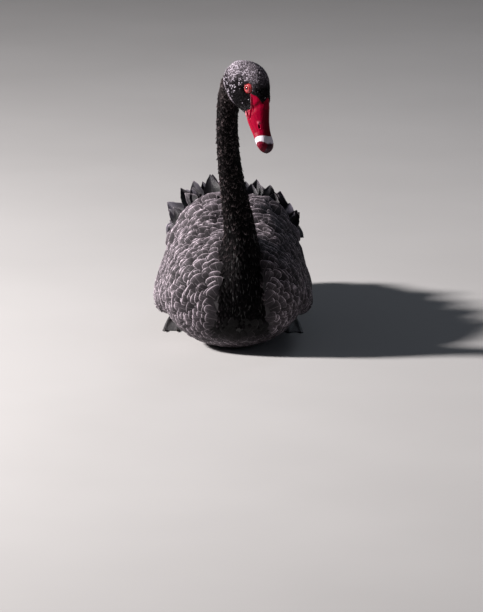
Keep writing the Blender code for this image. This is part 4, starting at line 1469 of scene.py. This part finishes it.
def lid_row(surface, turn, side):
    """One strip of a lid, from its free edge on the ball out to the face, and back underneath."""
    lid = 1.0 - 0.06 * max(0.0, sin(turn)) ** 2
    reach = np.hypot(OPENING[0] * cos(turn), OPENING[1] * sin(turn) * lid)
    row = [(reach + step, EYE_PLACE[1] + ball_height(lift, reach + step)) for step, lift in LID_STEPS]
    for away, sink in LID_SKIRT:
        x, z = EYE_PLACE[0] + away * cos(turn), EYE_PLACE[2] + away * sin(turn)
        start = Vector(from_head([x, side * RAY_START, z]))
        hit = surface.ray_cast(start, Vector(HEAD_AXES @ np.array([0.0, -side, 0.0])))[0]
        skin_height = (side * to_head(np.array(hit))[1] if hit else 0.0) + sink
        row.append((away, max(skin_height, EYE_PLACE[1] + ball_height(LID_OVER_BALL, away))))
    away, out = np.array(row).T
    top = stacked(EYE_PLACE[0] + away * cos(turn), side * out, EYE_PLACE[2] + away * sin(turn))
    return np.concatenate([top, top[::-1] - [0, side * LID_DEPTH, 0]])


def build_lids(surface, name, side, look):
    """A ring of bare skin that rises from the face to a soft edge on the ball."""
    turns = np.linspace(0, 2 * pi, 64, endpoint=False)
    rings = np.array([lid_row(surface, turn, side) for turn in turns])
    count, width, _ = rings.shape
    triangles = grid_triangles(count + 1, width, closed=True) % (count * width)
    add_triangles(name, from_head(rings.reshape(-1, 3)), triangles[:, ::-side], look, "eye")


# Legs and feet.


def build_leg(name, side_name, look):
    """Leg and webbed foot as one scaly skin."""
    nodes = [f"leg_{side_name}", f"foot_{side_name}"]
    mesh = remeshed(name, nodes, LEG_VOXEL, 12)
    points, normals = points_of(mesh), normals_of(mesh)
    shank = ease(0.0705, 0.080, points[:, 1])
    scutes = np.abs(np.sin(points[:, 1] * pi / SCUTE_LENGTH)) ** 0.5 * (normals[:, 2] > -0.2)
    points = points + normals * (0.00035 * (scutes - 0.6) * (0.5 + 0.5 * shank))[:, None]
    points[:, 2] = np.maximum(points[:, 2], 0.0)
    piece = add_triangles(name, points, triangles_of(mesh), look, "leg_skin")
    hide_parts(*nodes)


def add_claw(name, base, look):
    """A short hooked claw that lies forward on the floor."""
    rings, sides = 9, 12
    t = np.linspace(0, 1, rings)[:, None]
    turn = 2 * pi * np.arange(sides) / sides
    size = CLAW_RADIUS * np.maximum(1 - t**1.4, 0.04)
    droop = CLAW_RADIUS * 0.5 * np.sin(pi * t) - CLAW_RADIUS * 0.35 * t * t
    points = base + stacked(size * 0.8 * np.cos(turn), -CLAW_LENGTH * t, droop + size * np.sin(turn))
    points = points.reshape(-1, 3)
    points[:, 2] = np.maximum(points[:, 2], 0.0)
    root_cap = np.array([(j + 1, j, 0) for j in range(1, sides - 1)])
    caps = np.concatenate([root_cap, root_cap[:, ::-1] + (rings - 1) * sides])
    triangles = np.concatenate([grid_triangles(rings, sides, closed=True), caps])
    add_triangles(name, points, triangles, look, "leg_skin")


def build_claws(side_name, look):
    low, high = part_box(f"foot_{side_name}")
    middle, half = (low.x + high.x) / 2, (high.x - low.x) / 2
    for number, toe in enumerate(CLAW_SPREAD):
        base = np.array([middle + toe * half, low.y + 0.0030, CLAW_RADIUS])
        add_claw(f"claw_{side_name}_{number + 1}", base, look)


# Stage.


def add_area_light(name, place, size, power, colour):
    data = bpy.data.lights.new(name, "AREA")
    data.shape = "DISK"
    data.size = size
    data.energy = power
    data.color = colour
    lamp = add_object(name, data)
    lamp.location = place
    lamp.rotation_euler = (Vector(LIT_PLACE) - Vector(place)).to_track_quat("-Z", "Y").to_euler()


def build_stage():
    bpy.context.scene.view_settings.view_transform = "Standard"
    work = bmesh.new()
    bmesh.ops.create_grid(work, x_segments=2, y_segments=2, size=FLOOR_REACH)
    mesh = bpy.data.meshes.new("floor")
    work.to_mesh(mesh)
    work.free()
    mesh.materials.append(floor_material())
    floor = add_object("floor", mesh)
    world = bpy.data.worlds.new("studio")
    bpy.context.scene.world = world
    world.use_nodes = True
    back = next(n for n in world.node_tree.nodes if n.type == "BACKGROUND")
    back.inputs["Color"].default_value = (*SKY_COLOUR, 1.0)
    back.inputs["Strength"].default_value = SKY_STRENGTH
    for light in LIGHTS:
        add_area_light(*light)


def build_camera():
    forward = Vector((0.0, cos(CAMERA_DOWN), -sin(CAMERA_DOWN)))
    level_right = Vector((1.0, 0.0, 0.0))
    level_up = Vector((0.0, sin(CAMERA_DOWN), cos(CAMERA_DOWN)))
    right = cos(CAMERA_ROLL) * level_right + sin(CAMERA_ROLL) * level_up
    up = cos(CAMERA_ROLL) * level_up - sin(CAMERA_ROLL) * level_right
    data = bpy.data.cameras.new("camera")
    data.lens = CAMERA_LENS
    data.clip_end = 200.0
    camera = add_object("camera", data)
    turn = Matrix((right, up, -forward)).transposed().to_4x4()
    camera.matrix_world = Matrix.Translation(CAMERA_PLACE) @ turn
    bpy.context.scene.camera = camera


# The whole bird.


def build_wing(surface, side_name, side, look):
    add_quills(f"coat_white_quills_{side_name}", white_quills(surface, side), look, WHITE_QUILL,
               rim=0.3, stops=LONG_STOPS, patch=0.3, per_row=2,
               columns=5, cup=0.05, thickness=0.0005, twist=0.03, ragged=0.03)
    add_quills(f"coat_flight_{side_name}", flight_quills(surface, side), look, FLIGHT_DARK,
               rim=0.55, stops=LONG_STOPS, patch=0.14, per_row=5,
               columns=7, cup=0.06, thickness=0.0005, twist=0.05, ragged=0.04)
    build_frill(f"coat_frill_{side_name}", side, look)


def build_bird():
    skin = build_skin(skin_material())
    surface = surface_of(skin.data)
    corners = points_of(skin.data)[triangles_of(skin.data)]
    body_look = feather_material("body_feathers", 30.0, 1.25, PALE_EDGE, shine=0.12, shown=0.80)
    wing_look = feather_material("wing_feathers", 60.0, 0.9, PALE_EDGE, shine=0.25, roughness=(0.38, 0.55))
    neck_look = feather_material("neck_feathers", 9.0, 0.9, NECK_RIM_AND_GLINT, shine=0.02, sparse=0.35)
    head_look = feather_material("head_feathers", 6.0, 0.35, HEAD_TIP_AND_GLINT, shine=0.02)
    red_skin = face_material()
    pink_skin = bare_skin_material("bare_pink_skin", LID_PINK, LID_DEEP)
    gape_skin = bare_skin_material("gape_skin", GAPE_PINK, GAPE_DEEP)
    build_body_coat(surface, corners, body_look)
    build_small_coat(surface, corners, neck_look, head_look)
    build_tail(wing_look)
    bill_look, eye_look = bill_material(), eye_material()
    upper = build_bill("bill_upper_horn", "bill_upper", True, bill_look)
    build_face_skin((surface, surface_of(upper.data)), red_skin)
    build_bill("bill_lower_horn", "bill_lower", False, bill_look)
    leg_look, claw_look = leg_material(), claw_material()
    for side_name, side in SIDES.items():
        build_wing(surface, side_name, side, wing_look)
        add_bead(f"gape_{side_name}", side, gape_skin)
        build_eye(f"eyeball_{side_name}", f"eye_{side_name}", side, eye_look)
        build_lids(surface, f"lids_{side_name}", side, pink_skin)
        build_leg(f"foot_skin_{side_name}", side_name, leg_look)
        build_claws(side_name, claw_look)


build_camera()
build_bird()
build_stage()
